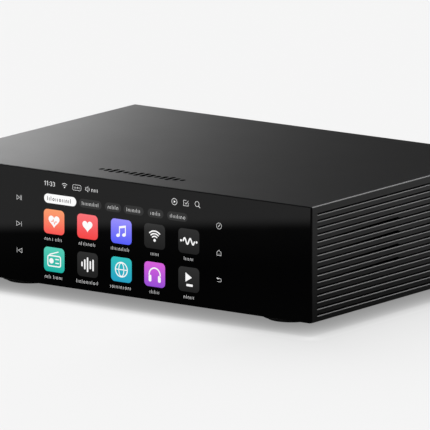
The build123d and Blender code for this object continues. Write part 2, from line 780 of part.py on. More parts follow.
def mains_inlet():
    """One moulding: C14 well, fuse pocket and rocker well."""
    body_y = 190.0
    well_x, well_z, corner = 12.1, 8.1, 4.0  # half sizes of the C14 well, cut corner
    with BuildPart() as inlet:
        with BuildSketch(upright(FLANGE_Y)):
            with Locations((MAINS_X, MAINS_Z)):
                RectangleRounded(31.0, 51.0, 2.0)
        extrude(amount=-2.5)
        chamfer(inlet.faces().sort_by(Axis.Y)[-1].edges(), length=0.5)
        with BuildSketch(upright(body_y)):
            with Locations((MAINS_X, MAINS_Z)):
                RectangleRounded(27.0, 47.0, 1.0)
        extrude(amount=body_y - (REAR_Y + 0.5))
        # well for the mains connector, two upper corners cut
        with BuildSketch(upright(CUT_Y)):
            with BuildLine():
                Polyline((MAINS_X - well_x, C14_Z - well_z),
                         (MAINS_X + well_x, C14_Z - well_z),
                         (MAINS_X + well_x, C14_Z + well_z - corner),
                         (MAINS_X + well_x - corner, C14_Z + well_z),
                         (MAINS_X - well_x + corner, C14_Z + well_z),
                         (MAINS_X - well_x, C14_Z + well_z - corner), close=True)
            make_face()
        extrude(amount=CUT_Y - 203.5, mode=Mode.SUBTRACT)
        # slots the three tabs pass through
        with BuildSketch(upright(204.0)):
            with Locations(*MAINS_TABS):
                Rectangle(2.06, 4.06)
        extrude(amount=20.0, mode=Mode.SUBTRACT)
        # fuse pocket
        with BuildSketch(upright(CUT_Y)):
            with Locations((MAINS_X, FUSE_Z)):
                Rectangle(20.4, 7.0)
        extrude(amount=CUT_Y - 197.4, mode=Mode.SUBTRACT)
        # rocker well and its two bearings
        with BuildSketch(upright(CUT_Y)):
            with Locations((MAINS_X, ROCKER_Z)):
                Rectangle(19.4, 13.0)
        extrude(amount=CUT_Y - 207.0, mode=Mode.SUBTRACT)
        with BuildSketch(sideways(MAINS_X - 11.0)):
            with Locations((ROCKER_Y, ROCKER_Z)):
                Circle(1.55)
        extrude(amount=22.0, mode=Mode.SUBTRACT)
    return inlet.part


def mains_pins():
    front, rear = 184.2, 215.0
    with BuildPart() as pins:
        with BuildSketch(upright(front)):
            with Locations(*MAINS_TABS):
                Rectangle(2.0, 4.0)
        extrude(amount=front - rear)
    return pins.part


def power_rocker():
    """Rocker tilted to its on position, with its axle."""
    half_w, half_axle = 9.4, 10.8
    tilted = Plane(origin=(MAINS_X - half_w, FRONT_Y + ROCKER_Y, FOOT_H + ROCKER_Z),
                   x_dir=Vector(0, 1, 0).rotate(Axis.X, -8.0), z_dir=(1, 0, 0))
    with BuildPart() as rocker:
        with BuildSketch(tilted):
            with BuildLine():
                Polyline((-5.0, -2.6), (1.0, -5.4), (5.5, -5.4), (4.2, 0),
                         (5.5, 5.4), (1.0, 5.4), (-5.0, 2.6), close=True)
            make_face()
        extrude(amount=2 * half_w)
        with BuildSketch(sideways(MAINS_X - half_axle)):
            with Locations((ROCKER_Y, ROCKER_Z)):
                Circle(1.5)
        extrude(amount=2 * half_axle)
    return rocker.part


def fuse_drawer():
    front = 198.0
    face_y = REAR_Y + 2.56
    with BuildPart() as drawer:
        with BuildSketch(upright(front)):
            with Locations((MAINS_X, FUSE_Z)):
                Rectangle(20.0, 6.6)
        extrude(amount=front - face_y)
        with BuildSketch(upright(face_y)):
            with Locations((MAINS_X, FUSE_Z)):
                RectangleRounded(22.4, 7.8, 0.8)
        extrude(amount=-1.5)
        # finger notch in the face
        with BuildSketch(upright(REAR_Y + 4.2)):
            with Locations((MAINS_X, FUSE_Z + 2.6)):
                Rectangle(7.0, 1.2)
        extrude(amount=0.9, mode=Mode.SUBTRACT)
        # channel the fuse lies in
        with BuildSketch(upright(199.0)):
            with Locations((MAINS_X, FUSE_Z + 1.5)):
                Rectangle(5.2, 8.2)
        extrude(amount=-20.4, mode=Mode.SUBTRACT)
    return drawer.part


def fuse():
    """Fuse with a thinner middle between its end caps."""
    front, length, cap_l = 199.2, 20.0, 5.0
    with BuildPart() as cartridge:
        with BuildSketch(upright(front)):
            with Locations((MAINS_X, FUSE_Z)):
                Circle(2.5)
        extrude(amount=-length)
        with BuildSketch(upright(front + cap_l)):
            with Locations((MAINS_X, FUSE_Z)):
                Circle(2.6)
                Circle(2.35, mode=Mode.SUBTRACT)
        extrude(amount=-(length - 2 * cap_l), mode=Mode.SUBTRACT)
    return cartridge.part


# ---------------------------------------------------------------------------
# Audio sockets
# ---------------------------------------------------------------------------

def rca_shells():
    """Stepped tubes with a flange behind the panel and a hexagon in front of it."""
    body_y = 209.0
    step_y = REAR_Y + 1.6
    # front y, outer radius, length
    tubes = ((body_y, 4.6, step_y - body_y), (step_y, 4.15, 8.6), (FLANGE_Y, 6.6, 1.5))
    with BuildPart() as shells:
        for y, radius, length in tubes:
            with BuildSketch(upright(y)):
                with Locations(*RCA_CENTRES):
                    Circle(radius)
                    Circle(RCA_BORE_R, mode=Mode.SUBTRACT)
            extrude(amount=-length)
        with BuildSketch(upright(213.2)):
            with Locations(*RCA_CENTRES):
                RegularPolygon(radius=6.9, side_count=6)
                Circle(RCA_BORE_R, mode=Mode.SUBTRACT)
        extrude(amount=-2.76)
        chamfer(end_edges(shells, Axis.Y, -1), length=0.25)
    return shells.part


def rca_inserts():
    """Insulators with the contact's hole."""
    front = 205.0
    with BuildPart() as inserts:
        with BuildSketch(upright(front)):
            with Locations(*RCA_CENTRES):
                Circle(RCA_BORE_R - GAP)
        extrude(amount=front - (REAR_Y + 9.6))
        with BuildSketch(upright(REAR_Y + 10.0)):
            with Locations(*RCA_CENTRES):
                Circle(1.65)
        extrude(amount=12.0, mode=Mode.SUBTRACT)
    return inserts.part


def xlr_sockets():
    """Balanced outputs: flange, round shell with its key, foot on the board."""
    front = 197.0
    foot_top = 22.0
    with BuildPart() as sockets:
        with BuildSketch(upright(FLANGE_Y)):
            with Locations(*XLR_CENTRES):
                RectangleRounded(26.0, 31.0, 3.0)
        extrude(amount=-XLR_FLANGE_T)
        chamfer(end_edges(sockets, Axis.Y, -1), length=0.4)
        with BuildSketch(upright(front)):
            with Locations(*XLR_CENTRES):
                Circle(11.2)
        extrude(amount=front - (REAR_Y + 1.0))
        with BuildSketch(upright(front)):
            with Locations(*[(x, (SEAT + foot_top) / 2) for x in XLR_X]):
                Rectangle(20.0, foot_top - SEAT)
        extrude(amount=-14.0)
        # bore with its key slot at the top
        with BuildSketch(upright(CUT_Y)):
            with Locations(*XLR_CENTRES):
                Circle(9.4)
                with Locations((0, 9.6)):
                    Rectangle(3.6, 2.4)
        extrude(amount=CUT_Y - 203.0, mode=Mode.SUBTRACT)
        with BuildSketch(upright(204.0)):
            with Locations(*XLR_PINS):
                Circle(1.22)
        extrude(amount=10.0, mode=Mode.SUBTRACT)
        with Locations(*[back(x, FLANGE_Y + XLR_FLANGE_T, z) for x, z in XLR_SCREWS]):
            CounterSinkHole(radius=THREAD_R, counter_sink_radius=3.02, depth=3.0)
    return sockets.part


def xlr_pins():
    front = 194.0
    with BuildPart() as pins:
        with BuildSketch(upright(front)):
            with Locations(*XLR_PINS):
                Circle(1.2)
        extrude(amount=front - (REAR_Y - 1.0))
        chamfer(end_edges(pins, Axis.Y, -1), length=0.4)
    return pins.part


# ---------------------------------------------------------------------------
# Digital sockets
# ---------------------------------------------------------------------------

OPENING_Y = REAR_Y + 2.0     # start of the cuts made from behind the sockets


def optical_sockets():
    front = 204.0
    with BuildPart() as sockets:
        with BuildSketch(upright(front)):
            with Locations(*OPT_CENTRES):
                Rectangle(10.0, 10.0)
        extrude(amount=front - (REAR_Y + 1.0))
        with BuildSketch(upright(OPENING_Y)):
            with Locations(*OPT_CENTRES):
                Rectangle(8.0, 8.2)
        extrude(amount=OPENING_Y - 208.0, mode=Mode.SUBTRACT)
        with BuildSketch(upright(208.5)):
            with Locations(*OPT_CENTRES):
                Circle(1.4)
        extrude(amount=2.5, mode=Mode.SUBTRACT)
        # bearings of the shutters
        for x in (OPT_OUT_X, OPT_IN_X):
            with BuildSketch(sideways(x - 4.8)):
                with Locations((FLAP_Y, FLAP_Z)):
                    Circle(0.55)
            extrude(amount=9.6, mode=Mode.SUBTRACT)
    return sockets.part


def optical_flap(x):
    """Shutter hung from two stub pins at the top of its opening."""
    with BuildPart() as flap:
        with BuildSketch(sideways(x - 3.85)):
            with Locations((FLAP_Y, DECK + 4.9)):
                Rectangle(0.8, 7.4)
        extrude(amount=7.7)
        with BuildSketch(sideways(x - 4.7)):
            with Locations((FLAP_Y, FLAP_Z)):
                Circle(0.5)
        extrude(amount=9.4)
    return flap.part


def usb_b_socket():
    front = 203.0
    height = 10.9
    # (x, z) from the socket's middle and the board, upper corners cut
    opening = [(-4.25, 1.5), (4.25, 1.5), (4.25, 7.2), (2.4, 9.3), (-2.4, 9.3), (-4.25, 7.2)]
    with BuildPart() as socket:
        with BuildSketch(upright(front)):
            with Locations((USB_B_X, SEAT + height / 2)):
                RectangleRounded(12.0, height, 0.4)
        extrude(amount=front - (REAR_Y + 1.2))
        with BuildSketch(upright(OPENING_Y)):
            with BuildLine():
                Polyline(*[(USB_B_X + x, DECK + z) for x, z in opening], close=True)
            make_face()
        extrude(amount=11.0, mode=Mode.SUBTRACT)
        with BuildSketch(upright(208.0)):
            with Locations((USB_B_X, DECK + 5.4)):
                Rectangle(5.6, 3.2)
        extrude(amount=-10.0)
    return socket.part


def usb_a_socket():
    """Two stacked openings, each with its tongue."""
    front = 203.0
    height = 15.6
    pitch = 7.6
    with BuildPart() as socket:
        with BuildSketch(upright(front)):
            with Locations((USB_A_X, SEAT + height / 2)):
                RectangleRounded(13.2, height, 0.5)
        extrude(amount=front - (REAR_Y + 1.2))
        with BuildSketch(upright(OPENING_Y)):
            with Locations((USB_A_X, DECK + 4.0), (USB_A_X, DECK + 4.0 + pitch)):
                Rectangle(12.2, 4.7)
        extrude(amount=12.0, mode=Mode.SUBTRACT)
        with BuildSketch(upright(207.0)):
            with Locations((USB_A_X, DECK + 5.2), (USB_A_X, DECK + 5.2 + pitch)):
                Rectangle(11.0, 1.5)
        extrude(amount=-10.5)
    return socket.part


def lan_socket():
    front = 200.0
    height = 13.4
    # stepped opening: z above the board, width, height
    steps = ((5.4, 11.9, 7.2), (9.4, 6.2, 1.8), (10.6, 3.4, 1.4))
    with BuildPart() as socket:
        with BuildSketch(upright(front)):
            with Locations((LAN_X, SEAT + height / 2)):
                RectangleRounded(16.0, height, 0.5)
        extrude(amount=front - (REAR_Y + 1.2))
        with BuildSketch(upright(OPENING_Y)):
            for z, step_w, step_h in steps:
                with Locations((LAN_X, DECK + z)):
                    Rectangle(step_w, step_h)
        extrude(amount=14.0, mode=Mode.SUBTRACT)
        # eight contacts
        with BuildSketch(upright(206.0)):
            with Locations((LAN_X, DECK + 2.4)):
                with GridLocations(1.1, 0, 8, 1):
                    Rectangle(0.5, 1.2)
        extrude(amount=-7.0)
    return socket.part


def hdmi_socket():
    front = 206.0
    height = 6.0
    # (x, z) from the socket's middle and the board, lower corners cut
    opening = [(-7.0, 5.4), (-7.0, 2.6), (-5.4, 0.8), (5.4, 0.8), (7.0, 2.6), (7.0, 5.4)]
    with BuildPart() as socket:
        with BuildSketch(upright(front)):
            with Locations((HDMI_X, SEAT + height / 2)):
                RectangleRounded(15.2, height, 0.5)
        extrude(amount=front - (REAR_Y + 1.0))
        with BuildSketch(upright(OPENING_Y)):
            with BuildLine():
                Polyline(*[(HDMI_X + x, DECK + z) for x, z in opening], close=True)
            make_face()
        extrude(amount=10.0, mode=Mode.SUBTRACT)
        with BuildSketch(upright(209.0)):
            with Locations((HDMI_X, DECK + 3.3)):
                Rectangle(11.6, 1.3)
        extrude(amount=-8.0)
    return socket.part


def trigger_jack():
    front = 203.0
    height = 9.8
    body_end = PANEL_Y - 0.3
    with BuildPart() as jack:
        with BuildSketch(upright(front)):
            with Locations((TRIG_X, SEAT + height / 2)):
                Rectangle(8.6, height)
        extrude(amount=front - body_end)
        with BuildSketch(upright(body_end)):
            with Locations((TRIG_X, DECK + 5.0)):
                Circle(3.9)
        extrude(amount=-(PANEL_T + 1.6))
        with BuildSketch(upright(OPENING_Y)):
            with Locations((TRIG_X, DECK + 5.0)):
                Circle(1.78)
        extrude(amount=OPENING_Y - 204.5, mode=Mode.SUBTRACT)
        chamfer(end_edges(jack, Axis.Y, -1), length=0.4)
    return jack.part


# ---------------------------------------------------------------------------
# Antennas
# ---------------------------------------------------------------------------

def antenna_sockets():
    """Round sockets through the panel, with a hexagon in front of it."""
    with BuildPart() as sockets:
        with BuildSketch(upright(206.0)):
            with Locations(*ANT_CENTRES):
                Circle(3.1)
        extrude(amount=-20.0)
        with BuildSketch(upright(213.0)):
            with Locations(*ANT_CENTRES):
                RegularPolygon(radius=4.6, side_count=6)
        extrude(amount=-2.98)
    return sockets.part


def antenna_nuts():
    with BuildPart() as nuts:
        with BuildSketch(upright(FLANGE_Y)):
            with Locations(*ANT_CENTRES):
                RegularPolygon(radius=4.9, side_count=6)
                Circle(ANT_BORE_R, mode=Mode.SUBTRACT)
        extrude(amount=-2.2)
    return nuts.part


def antenna_base(side):
    """Swivel collar with two ears; the collar turns on the socket. Side -1 is left."""
    x = side * ANT_X
    collar_r = 5.0
    ear_y = 230.5
    ear_h, slot_h, pin_hole_h = 9.8, 5.4, 8.6
    with BuildPart() as base:
        with BuildSketch(upright(221.0)):
            with Locations((x, ANT_Z)):
                Circle(collar_r)
        extrude(amount=-10.0)
        chamfer(end_edges(base, Axis.Y, 0), length=0.4)
        # grip notches round the collar
        with BuildSketch(upright(222.0)):
            with Locations((x, ANT_Z)):
                with PolarLocations(collar_r, 20):
                    Rectangle(0.5, 0.7)
        extrude(amount=-6.0, mode=Mode.SUBTRACT)
        with BuildSketch(level(ANT_Z - ear_h / 2)):
            with Locations((x, (ear_y + PIN_Y) / 2)):
                Rectangle(2 * KNUCKLE_R, PIN_Y - ear_y)
            with Locations((x, PIN_Y)):
                Circle(KNUCKLE_R)
        extrude(amount=ear_h)
        # slot between the ears
        with BuildSketch(level(ANT_Z - slot_h / 2)):
            with Locations((x, PIN_Y + 1.0)):
                Rectangle(16.0, 12.2)
        extrude(amount=slot_h, mode=Mode.SUBTRACT)
        with BuildSketch(level(ANT_Z - pin_hole_h / 2)):
            with Locations((x, PIN_Y)):
                Circle(1.27)
        extrude(amount=pin_hole_h, mode=Mode.SUBTRACT)
        # bore for the socket
        with BuildSketch(upright(220.0)):
            with Locations((x, ANT_Z)):
                Circle(ANT_BORE_R)
        extrude(amount=-6.4, mode=Mode.SUBTRACT)
    return base.part


# sections of a blade: distance from the pivot, size along y, size along z, corner radius
BLADE_SECTIONS = (
    (6.2, 8.4, 9.0, 3.0),
    (60.0, 8.0, 8.6, 3.2),
    (106.0, 6.8, 7.2, 3.0),
)


def antenna_blade(side):
    """Tapered stick folded towards the middle, tongue with stub pins. Side -1 is left."""
    x = side * ANT_X
    tongue_h, pin_h = 5.2, 8.4
    with BuildPart() as blade:
        for distance, depth, height, radius in BLADE_SECTIONS:
            with BuildSketch(sideways(side * (ANT_X - distance))):
                with Locations((PIN_Y, ANT_Z)):
                    RectangleRounded(depth, height, radius)
        loft()
        tip = blade.faces().sort_by(Axis.X)[0 if side > 0 else -1]
        fillet(tip.edges(), radius=1.6)
        with BuildSketch(level(ANT_Z - tongue_h / 2)):
            with Locations((x, PIN_Y)):
                Circle(4.1)
            with Locations((x - side * 3.6, PIN_Y)):
                Rectangle(7.2, 7.0)
        extrude(amount=tongue_h)
        with BuildSketch(level(ANT_Z - pin_h / 2)):
            with Locations((x, PIN_Y)):
                Circle(1.2)
        extrude(amount=pin_h)
    return blade.part


# ---------------------------------------------------------------------------
# Export
# ---------------------------------------------------------------------------

PIECES = {
    "top_cover": top_cover(),
    "bottom_plate": bottom_plate(),
    "rear_panel": rear_panel(),
    "ssd_cover": ssd_cover(),
    "front_glass": front_glass(),
    "glass_adhesive": glass_adhesive(),
    "front_frame": front_frame(),
    "display_module": display_module(),
    "touch_board_left": touch_board(KEY_LEFT_X),
    "touch_board_right": touch_board(KEY_RIGHT_X),
    "display_ribbon": display_ribbon(),
    "feet": feet(),
    "foot_pads": foot_pads(),
    "foot_screws": foot_screws(),
    "bottom_screws": bottom_screws(),
    "rear_screws": rear_screws(),
    "frame_screws": frame_screws(),
    "ssd_cover_screws": ssd_cover_screws(),
    "board_standoffs": board_standoffs(),
    "board_screws": board_screws(),
    "main_board": circuit_board(-32.0, 165, 116.0, 94.0, MAIN_HOLES),
    "main_board_parts": main_board_parts(),
    "processor_heatsink": processor_heatsink(),
    "ssd_module": ssd_module(),
    "dac_board": circuit_board(82.0, 170, 108.0, 84.0, DAC_HOLES),
    "dac_board_parts": dac_board_parts(),
    "psu_board": circuit_board(-116.5, 150, 47.0, 64.0, PSU_HOLES),
    "psu_board_parts": psu_board_parts(),
    "psu_capacitors": psu_capacitors(),
    "transformer": transformer(),
    "transformer_pads": transformer_pads(),
    "transformer_washer": transformer_washer(),
    "transformer_bolt": transformer_bolt(),
    "transformer_leads": transformer_leads(),
    "mains_wires": mains_wires(),
    "power_harness": power_harness(),
    "antenna_leads": antenna_leads(),
    "mains_inlet": mains_inlet(),
    "mains_pins": mains_pins(),
    "power_rocker": power_rocker(),
    "fuse_drawer": fuse_drawer(),
    "fuse": fuse(),
    "rca_shells": rca_shells(),
    "rca_inserts": rca_inserts(),
    "xlr_sockets": xlr_sockets(),
    "xlr_pins": xlr_pins(),
    "optical_sockets": optical_sockets(),
    "optical_flap_in": optical_flap(OPT_IN_X),
    "optical_flap_out": optical_flap(OPT_OUT_X),
    "usb_b_socket": usb_b_socket(),
    "usb_a_socket": usb_a_socket(),
    "lan_socket": lan_socket(),
    "hdmi_socket": hdmi_socket(),
    "trigger_jack": trigger_jack(),
    "antenna_sockets": antenna_sockets(),
    "antenna_nuts": antenna_nuts(),
    "antenna_left_base": antenna_base(-1),
    "antenna_right_base": antenna_base(1),
    "antenna_left_blade": antenna_blade(-1),
    "antenna_right_blade": antenna_blade(1),
}

for name, piece in PIECES.items():
    piece.label = name
    export_step(piece, f"parts/{name}.step")
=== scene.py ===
"""Network music player: a low black case with a touch display behind a glass front.

The case is centred on x = 0 and stands on the floor at z = 0. The glass faces -y, the
sockets face +y. The frame's pieces are in metres; flat artwork is drawn in millimetres.
"""
import bpy, bmesh, json, math, random
from mathutils import Vector, Matrix


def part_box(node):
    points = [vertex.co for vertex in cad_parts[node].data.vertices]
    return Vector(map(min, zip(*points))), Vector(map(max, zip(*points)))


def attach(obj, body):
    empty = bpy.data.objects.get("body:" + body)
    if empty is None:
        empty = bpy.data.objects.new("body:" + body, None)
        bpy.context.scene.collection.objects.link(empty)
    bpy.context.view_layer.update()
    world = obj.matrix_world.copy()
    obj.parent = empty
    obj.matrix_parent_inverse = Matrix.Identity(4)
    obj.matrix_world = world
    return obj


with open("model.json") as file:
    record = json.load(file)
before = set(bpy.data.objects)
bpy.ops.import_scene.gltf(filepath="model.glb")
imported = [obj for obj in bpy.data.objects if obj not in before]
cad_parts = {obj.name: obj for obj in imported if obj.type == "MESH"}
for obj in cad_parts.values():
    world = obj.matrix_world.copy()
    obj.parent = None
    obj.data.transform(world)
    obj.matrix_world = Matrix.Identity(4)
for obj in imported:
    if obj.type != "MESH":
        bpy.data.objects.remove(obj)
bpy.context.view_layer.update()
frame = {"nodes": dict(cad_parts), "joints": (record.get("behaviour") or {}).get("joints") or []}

NODES = frame["nodes"]
random.seed(7)

# ----------------------------------------------------------------------------
# Positions taken from the frame
# ----------------------------------------------------------------------------
MM = 0.001
GLASS_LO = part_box("front_glass")[0]
COVER_LO, COVER_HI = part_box("top_cover")
PANEL_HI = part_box("rear_panel")[1]
FRONT_Y = GLASS_LO.y        # outer face of the glass
CASE_BOTTOM = COVER_LO.z
CASE_TOP = COVER_HI.z
HALF_WIDTH = COVER_HI.x
HALF_DEPTH = (COVER_HI.y - FRONT_Y) / 2
CASE_CENTRE = Vector((0.0, (FRONT_Y + COVER_HI.y) / 2, (CASE_BOTTOM + CASE_TOP) / 2))
LID_CENTRE = Vector((0, CASE_CENTRE.y, CASE_TOP))
TARGET = CASE_CENTRE + Vector((0, 0, 0.03))     # what cards and lights are aimed at

RIGHT, BACK, UP = Vector((1, 0, 0)), Vector((0, 1, 0)), Vector((0, 0, 1))

# Drawing planes: origin, u direction, v direction, outward direction
FRONT_PLANE = (Vector((0, FRONT_Y, CASE_BOTTOM)), RIGHT, UP, -BACK)
LID_PLANE = (Vector((0, FRONT_Y, CASE_TOP)), RIGHT, BACK, UP)
REAR_PLANE = (Vector((0, PANEL_HI.y, CASE_BOTTOM)), RIGHT, UP, BACK)


# ----------------------------------------------------------------------------
# Node graphs
# ----------------------------------------------------------------------------
class Graph:
    """The emptied node tree of a material or world, filled through short calls."""

    def __init__(self, owner):
        self.owner = owner
        owner.use_nodes = True
        self.tree = owner.node_tree
        self.tree.nodes.clear()

    def feed(self, socket, value):
        """Link an output to the socket, or set it to a number, vector or colour."""
        if isinstance(value, bpy.types.NodeSocket):
            self.tree.links.new(value, socket)
        elif socket.type == "RGBA":
            socket.default_value = (*value, 1.0)
        else:
            socket.default_value = value

    def node(self, kind, inputs={}, **settings):
        """Add a node; inputs maps input names or indices to values or outputs."""
        node = self.tree.nodes.new("ShaderNode" + kind)
        for name, value in settings.items():
            setattr(node, name, value)
        for key, value in inputs.items():
            self.feed(node.inputs[key], value)
        return node

    def math(self, operation, *values, clamp=False):
        inputs = dict(enumerate(values))
        return self.node("Math", inputs, operation=operation, use_clamp=clamp).outputs[0]

    def map_range(self, value, to_min, to_max, from_min=0.0, from_max=1.0):
        return self.node("MapRange", {
            "From Min": from_min, "From Max": from_max,
            "To Min": to_min, "To Max": to_max, "Value": value}).outputs["Result"]

    def ramp(self, factor, stops, interpolation="LINEAR"):
        """Colour ramp; stops are (position, colour or grey level)."""
        node = self.node("ValToRGB", {"Fac": factor})
        node.color_ramp.interpolation = interpolation
        elements = node.color_ramp.elements
        while len(elements) < len(stops):
            elements.new(0.5)
        for element, (position, color) in zip(elements, stops):
            element.position = position
            element.color = (*color, 1.0) if isinstance(color, tuple) else (*(color,) * 3, 1.0)
        return node.outputs["Color"]

    def xyz(self, vector):
        return list(self.node("SeparateXYZ", {0: vector}).outputs)

    def offset_from(self, start):
        """Vector from a fixed point to the shaded point."""
        position = self.node("NewGeometry").outputs["Position"]
        node = self.node("VectorMath", {0: position, 1: start}, operation="SUBTRACT")
        return node.outputs["Vector"]

    def dot(self, vector, direction):
        node = self.node("VectorMath", {0: vector, 1: direction}, operation="DOT_PRODUCT")
        return node.outputs["Value"]


PRINCIPLED_INPUTS = {
    "color": "Base Color", "metallic": "Metallic", "roughness": "Roughness",
    "specular": "Specular IOR Level", "ior": "IOR",
    "emission": "Emission Color", "emission_strength": "Emission Strength",
}


class Surface(Graph):
    """A new material with one Principled shader, patterned in object coordinates."""

    def __init__(self, name):
        super().__init__(bpy.data.materials.new(name))
        self.principled = self.node("BsdfPrincipled")
        self.node("OutputMaterial", {0: self.principled.outputs[0]})
        self.coordinates = self.node("TexCoord").outputs["Object"]

    def noise(self, scale, detail=3.0, roughness=0.55, stretch=None):
        vector = self.coordinates
        if stretch:
            vector = self.node("Mapping", {"Vector": vector, "Scale": stretch}).outputs[0]
        return self.node("TexNoise", {
            "Scale": scale, "Detail": detail, "Roughness": roughness,
            "Vector": vector}).outputs["Fac"]

    def spread(self, noise, low, high):
        """Map the middle of a noise's range, where nearly all of it lies, to low..high."""
        return self.map_range(noise, low, high, 0.3, 0.7)

    def around(self, noise, middle, swing):
        return self.spread(noise, middle - swing, middle + swing)

    def mix(self, factor, a, b):
        # inputs 6 and 7 and output 2 are the node's colour sockets
        node = self.node("Mix", {0: factor, 6: a, 7: b}, data_type="RGBA")
        return node.outputs[2]

    def shades(self, factor, color, dark, light):
        """From the colour times dark to the colour times light."""
        return self.mix(factor, tuple(c * dark for c in color),
                        tuple(min(1, c * light) for c in color))

    def bump(self, height, strength, distance):
        node = self.node("Bump", {"Strength": strength, "Distance": distance, "Height": height})
        self.feed(self.principled.inputs["Normal"], node.outputs[0])

    def finish(self, **values):
        """Feed the Principled inputs and return the material."""
        for name, value in values.items():
            self.feed(self.principled.inputs[PRINCIPLED_INPUTS[name]], value)
        return self.owner


def srgb(red, green=None, blue=None):
    """Linear colour from 0..255 display values; one value gives a grey."""
    if green is None:
        green = blue = red

    def linear(value):
        value = value / 255
        return value / 12.92 if value <= 0.04045 else ((value + 0.055) / 1.055) ** 2.4
    return (linear(red), linear(green), linear(blue))


# ----------------------------------------------------------------------------
# Materials
# ----------------------------------------------------------------------------
ANODISED_SPECULAR = 0.55
# painted highlight colours of the chamfers, from dim to bright streaks
LIP_HIGHLIGHT_DIM, LIP_HIGHLIGHT_BRIGHT = (0.068, 0.068, 0.071), (0.094, 0.094, 0.097)


def case_painted_light(surface, color, roughness):
    """Paint a highlight into the colour of the case's cut chamfers, and paint shade into its
    flanks, grooves and front edge.
    """
    normal_x, _, normal_z = surface.xyz(surface.node("NewGeometry").outputs["True Normal"])
    x, y, z = surface.xyz(surface.coordinates)
    slope = surface.math("MULTIPLY", surface.math("ABSOLUTE", normal_x), normal_z)
    # inside the grooves, below the lid's top and inset from the flanks, where shade is painted
    below_top = surface.math("LESS_THAN", z, CASE_TOP - 0.002)
    inset = surface.math("LESS_THAN", surface.math("ABSOLUTE", x), HALF_WIDTH - 0.00040)
    groove_shade = surface.math("MULTIPLY", below_top, inset)
    # chamfer faces outside the grooves get a painted highlight
    lip_highlight = surface.math("MULTIPLY", surface.math("GREATER_THAN", slope, 0.42),
                       surface.math("SUBTRACT", 1.0, groove_shade))
    flank_shade = surface.math("GREATER_THAN", surface.math("ABSOLUTE", normal_x), 0.9)
    # strip along the cover's front edge, beside the glass, where shade is painted
    front = surface.math("LESS_THAN", y, COVER_LO.y + 0.00045)

    # painted shade: the side faces darkened towards black
    color = surface.mix(surface.math("MULTIPLY", flank_shade, 0.55), color, (0.001, 0.001, 0.001))
    # streaks along the chamfers vary the painted highlight
    cut = surface.noise(scale=500.0, detail=2.0, roughness=0.5, stretch=(1.0, 0.02, 1.0))
    color = surface.mix(lip_highlight, color, surface.ramp(cut, [(0.3, LIP_HIGHLIGHT_DIM), (0.7, LIP_HIGHLIGHT_BRIGHT)]))
    # painted shade in the grooves
    color = surface.mix(groove_shade, color, (0.0003, 0.0003, 0.0003))
    # painted shade along the front edge
    color = surface.mix(front, color, (0.004, 0.004, 0.0042))
    roughness = surface.math("SUBTRACT", roughness, surface.math("MULTIPLY", lip_highlight, 0.10))
    # painted shade also turns the specular down in the grooves and along the front edge
    painted_shade = surface.math("MAXIMUM", groove_shade, front)
    return color, roughness, surface.map_range(painted_shade, ANODISED_SPECULAR, 0.02)


def anodised(name, grey, roughness, paint_light=False):
    """Bead-blasted black anodised aluminium."""
    surface = Surface(name)
    grain = surface.noise(scale=9000.0, detail=2.0, roughness=0.6)
    cloud = surface.noise(scale=22.0, roughness=0.5)
    smudge = surface.noise(scale=26.0, roughness=0.5)
    blend = surface.math("ADD", surface.math("MULTIPLY", grain, 0.5),
                         surface.math("MULTIPLY", cloud, 0.5))
    color = surface.ramp(blend, [(0.30, (grey * 0.86,) * 3),
                                 (0.70, (grey * 1.14, grey * 1.14, grey * 1.18))])
    roughness = surface.math("ADD", surface.around(smudge, roughness, 0.008),
                             surface.spread(grain, -0.03, 0.03))
    specular = ANODISED_SPECULAR
    # the option paints a highlight on the case's chamfers and shade on its flanks, grooves and
    # front edge
    if paint_light:
        color, roughness, specular = case_painted_light(surface, color, roughness)
    surface.bump(grain, strength=0.10, distance=0.00002)
    return surface.finish(color=color, metallic=0.0, roughness=roughness, specular=specular)


def powder(name, color, roughness, scale=2600.0, bump=0.25):
    """Fine-textured coating or moulding."""
    surface = Surface(name)
    grain = surface.noise(scale=scale, roughness=0.6)
    cloud = surface.noise(scale=35.0, detail=2.0, roughness=0.5)
    surface.bump(grain, strength=bump, distance=0.00005)
    return surface.finish(
        color=surface.shades(surface.spread(cloud, 0.0, 1.0), color, 0.85, 1.15),
        roughness=surface.around(grain, roughness, 0.06), specular=0.5)


def metal(name, color, roughness):
    surface = Surface(name)
    grain = surface.noise(scale=1500.0, roughness=0.6)
    cloud = surface.noise(scale=120.0, detail=2.0, roughness=0.5)
    surface.bump(grain, strength=0.12, distance=0.00002)
    return surface.finish(
        color=surface.shades(surface.spread(cloud, 0.0, 1.0), color, 0.88, 1.08),
        metallic=1.0, roughness=surface.around(grain, roughness, 0.08))


def rubber(name, color=(0.014, 0.014, 0.014), roughness=0.75):
    surface = Surface(name)
    grain = surface.noise(scale=1800.0, detail=4.0, roughness=0.65)
    surface.bump(grain, strength=0.35, distance=0.00006)
    return surface.finish(color=surface.shades(grain, color, 0.7, 1.3),
                          roughness=surface.around(grain, roughness, 0.08), specular=0.35)


def printed(name, color, roughness, specular=0.5):
    """Screen-printed ink."""
    surface = Surface(name)
    grain = surface.noise(scale=3000.0, detail=2.0, roughness=0.5)
    surface.bump(grain, strength=0.1, distance=0.00001)
    return surface.finish(
        color=surface.shades(grain, color, 0.9, 1.1),
        roughness=surface.spread(grain, roughness - 0.05, roughness + 0.08), specular=specular)


def board(name):
    """Green solder mask with faint copper tracks under it."""
    surface = Surface(name)
    tracks = surface.node("TexBrick", {
        "Scale": 260.0, "Mortar Size": 0.035,
        "Color1": (0.006, 0.045, 0.022), "Color2": (0.007, 0.055, 0.026),
        "Mortar": (0.03, 0.13, 0.055), "Vector": surface.coordinates})
    grain = surface.noise(scale=700.0, detail=2.0, roughness=0.5)
    surface.bump(tracks.outputs["Fac"], strength=0.2, distance=0.00003)
    return surface.finish(color=tracks.outputs["Color"],
                          roughness=surface.spread(grain, 0.28, 0.42), specular=0.5)


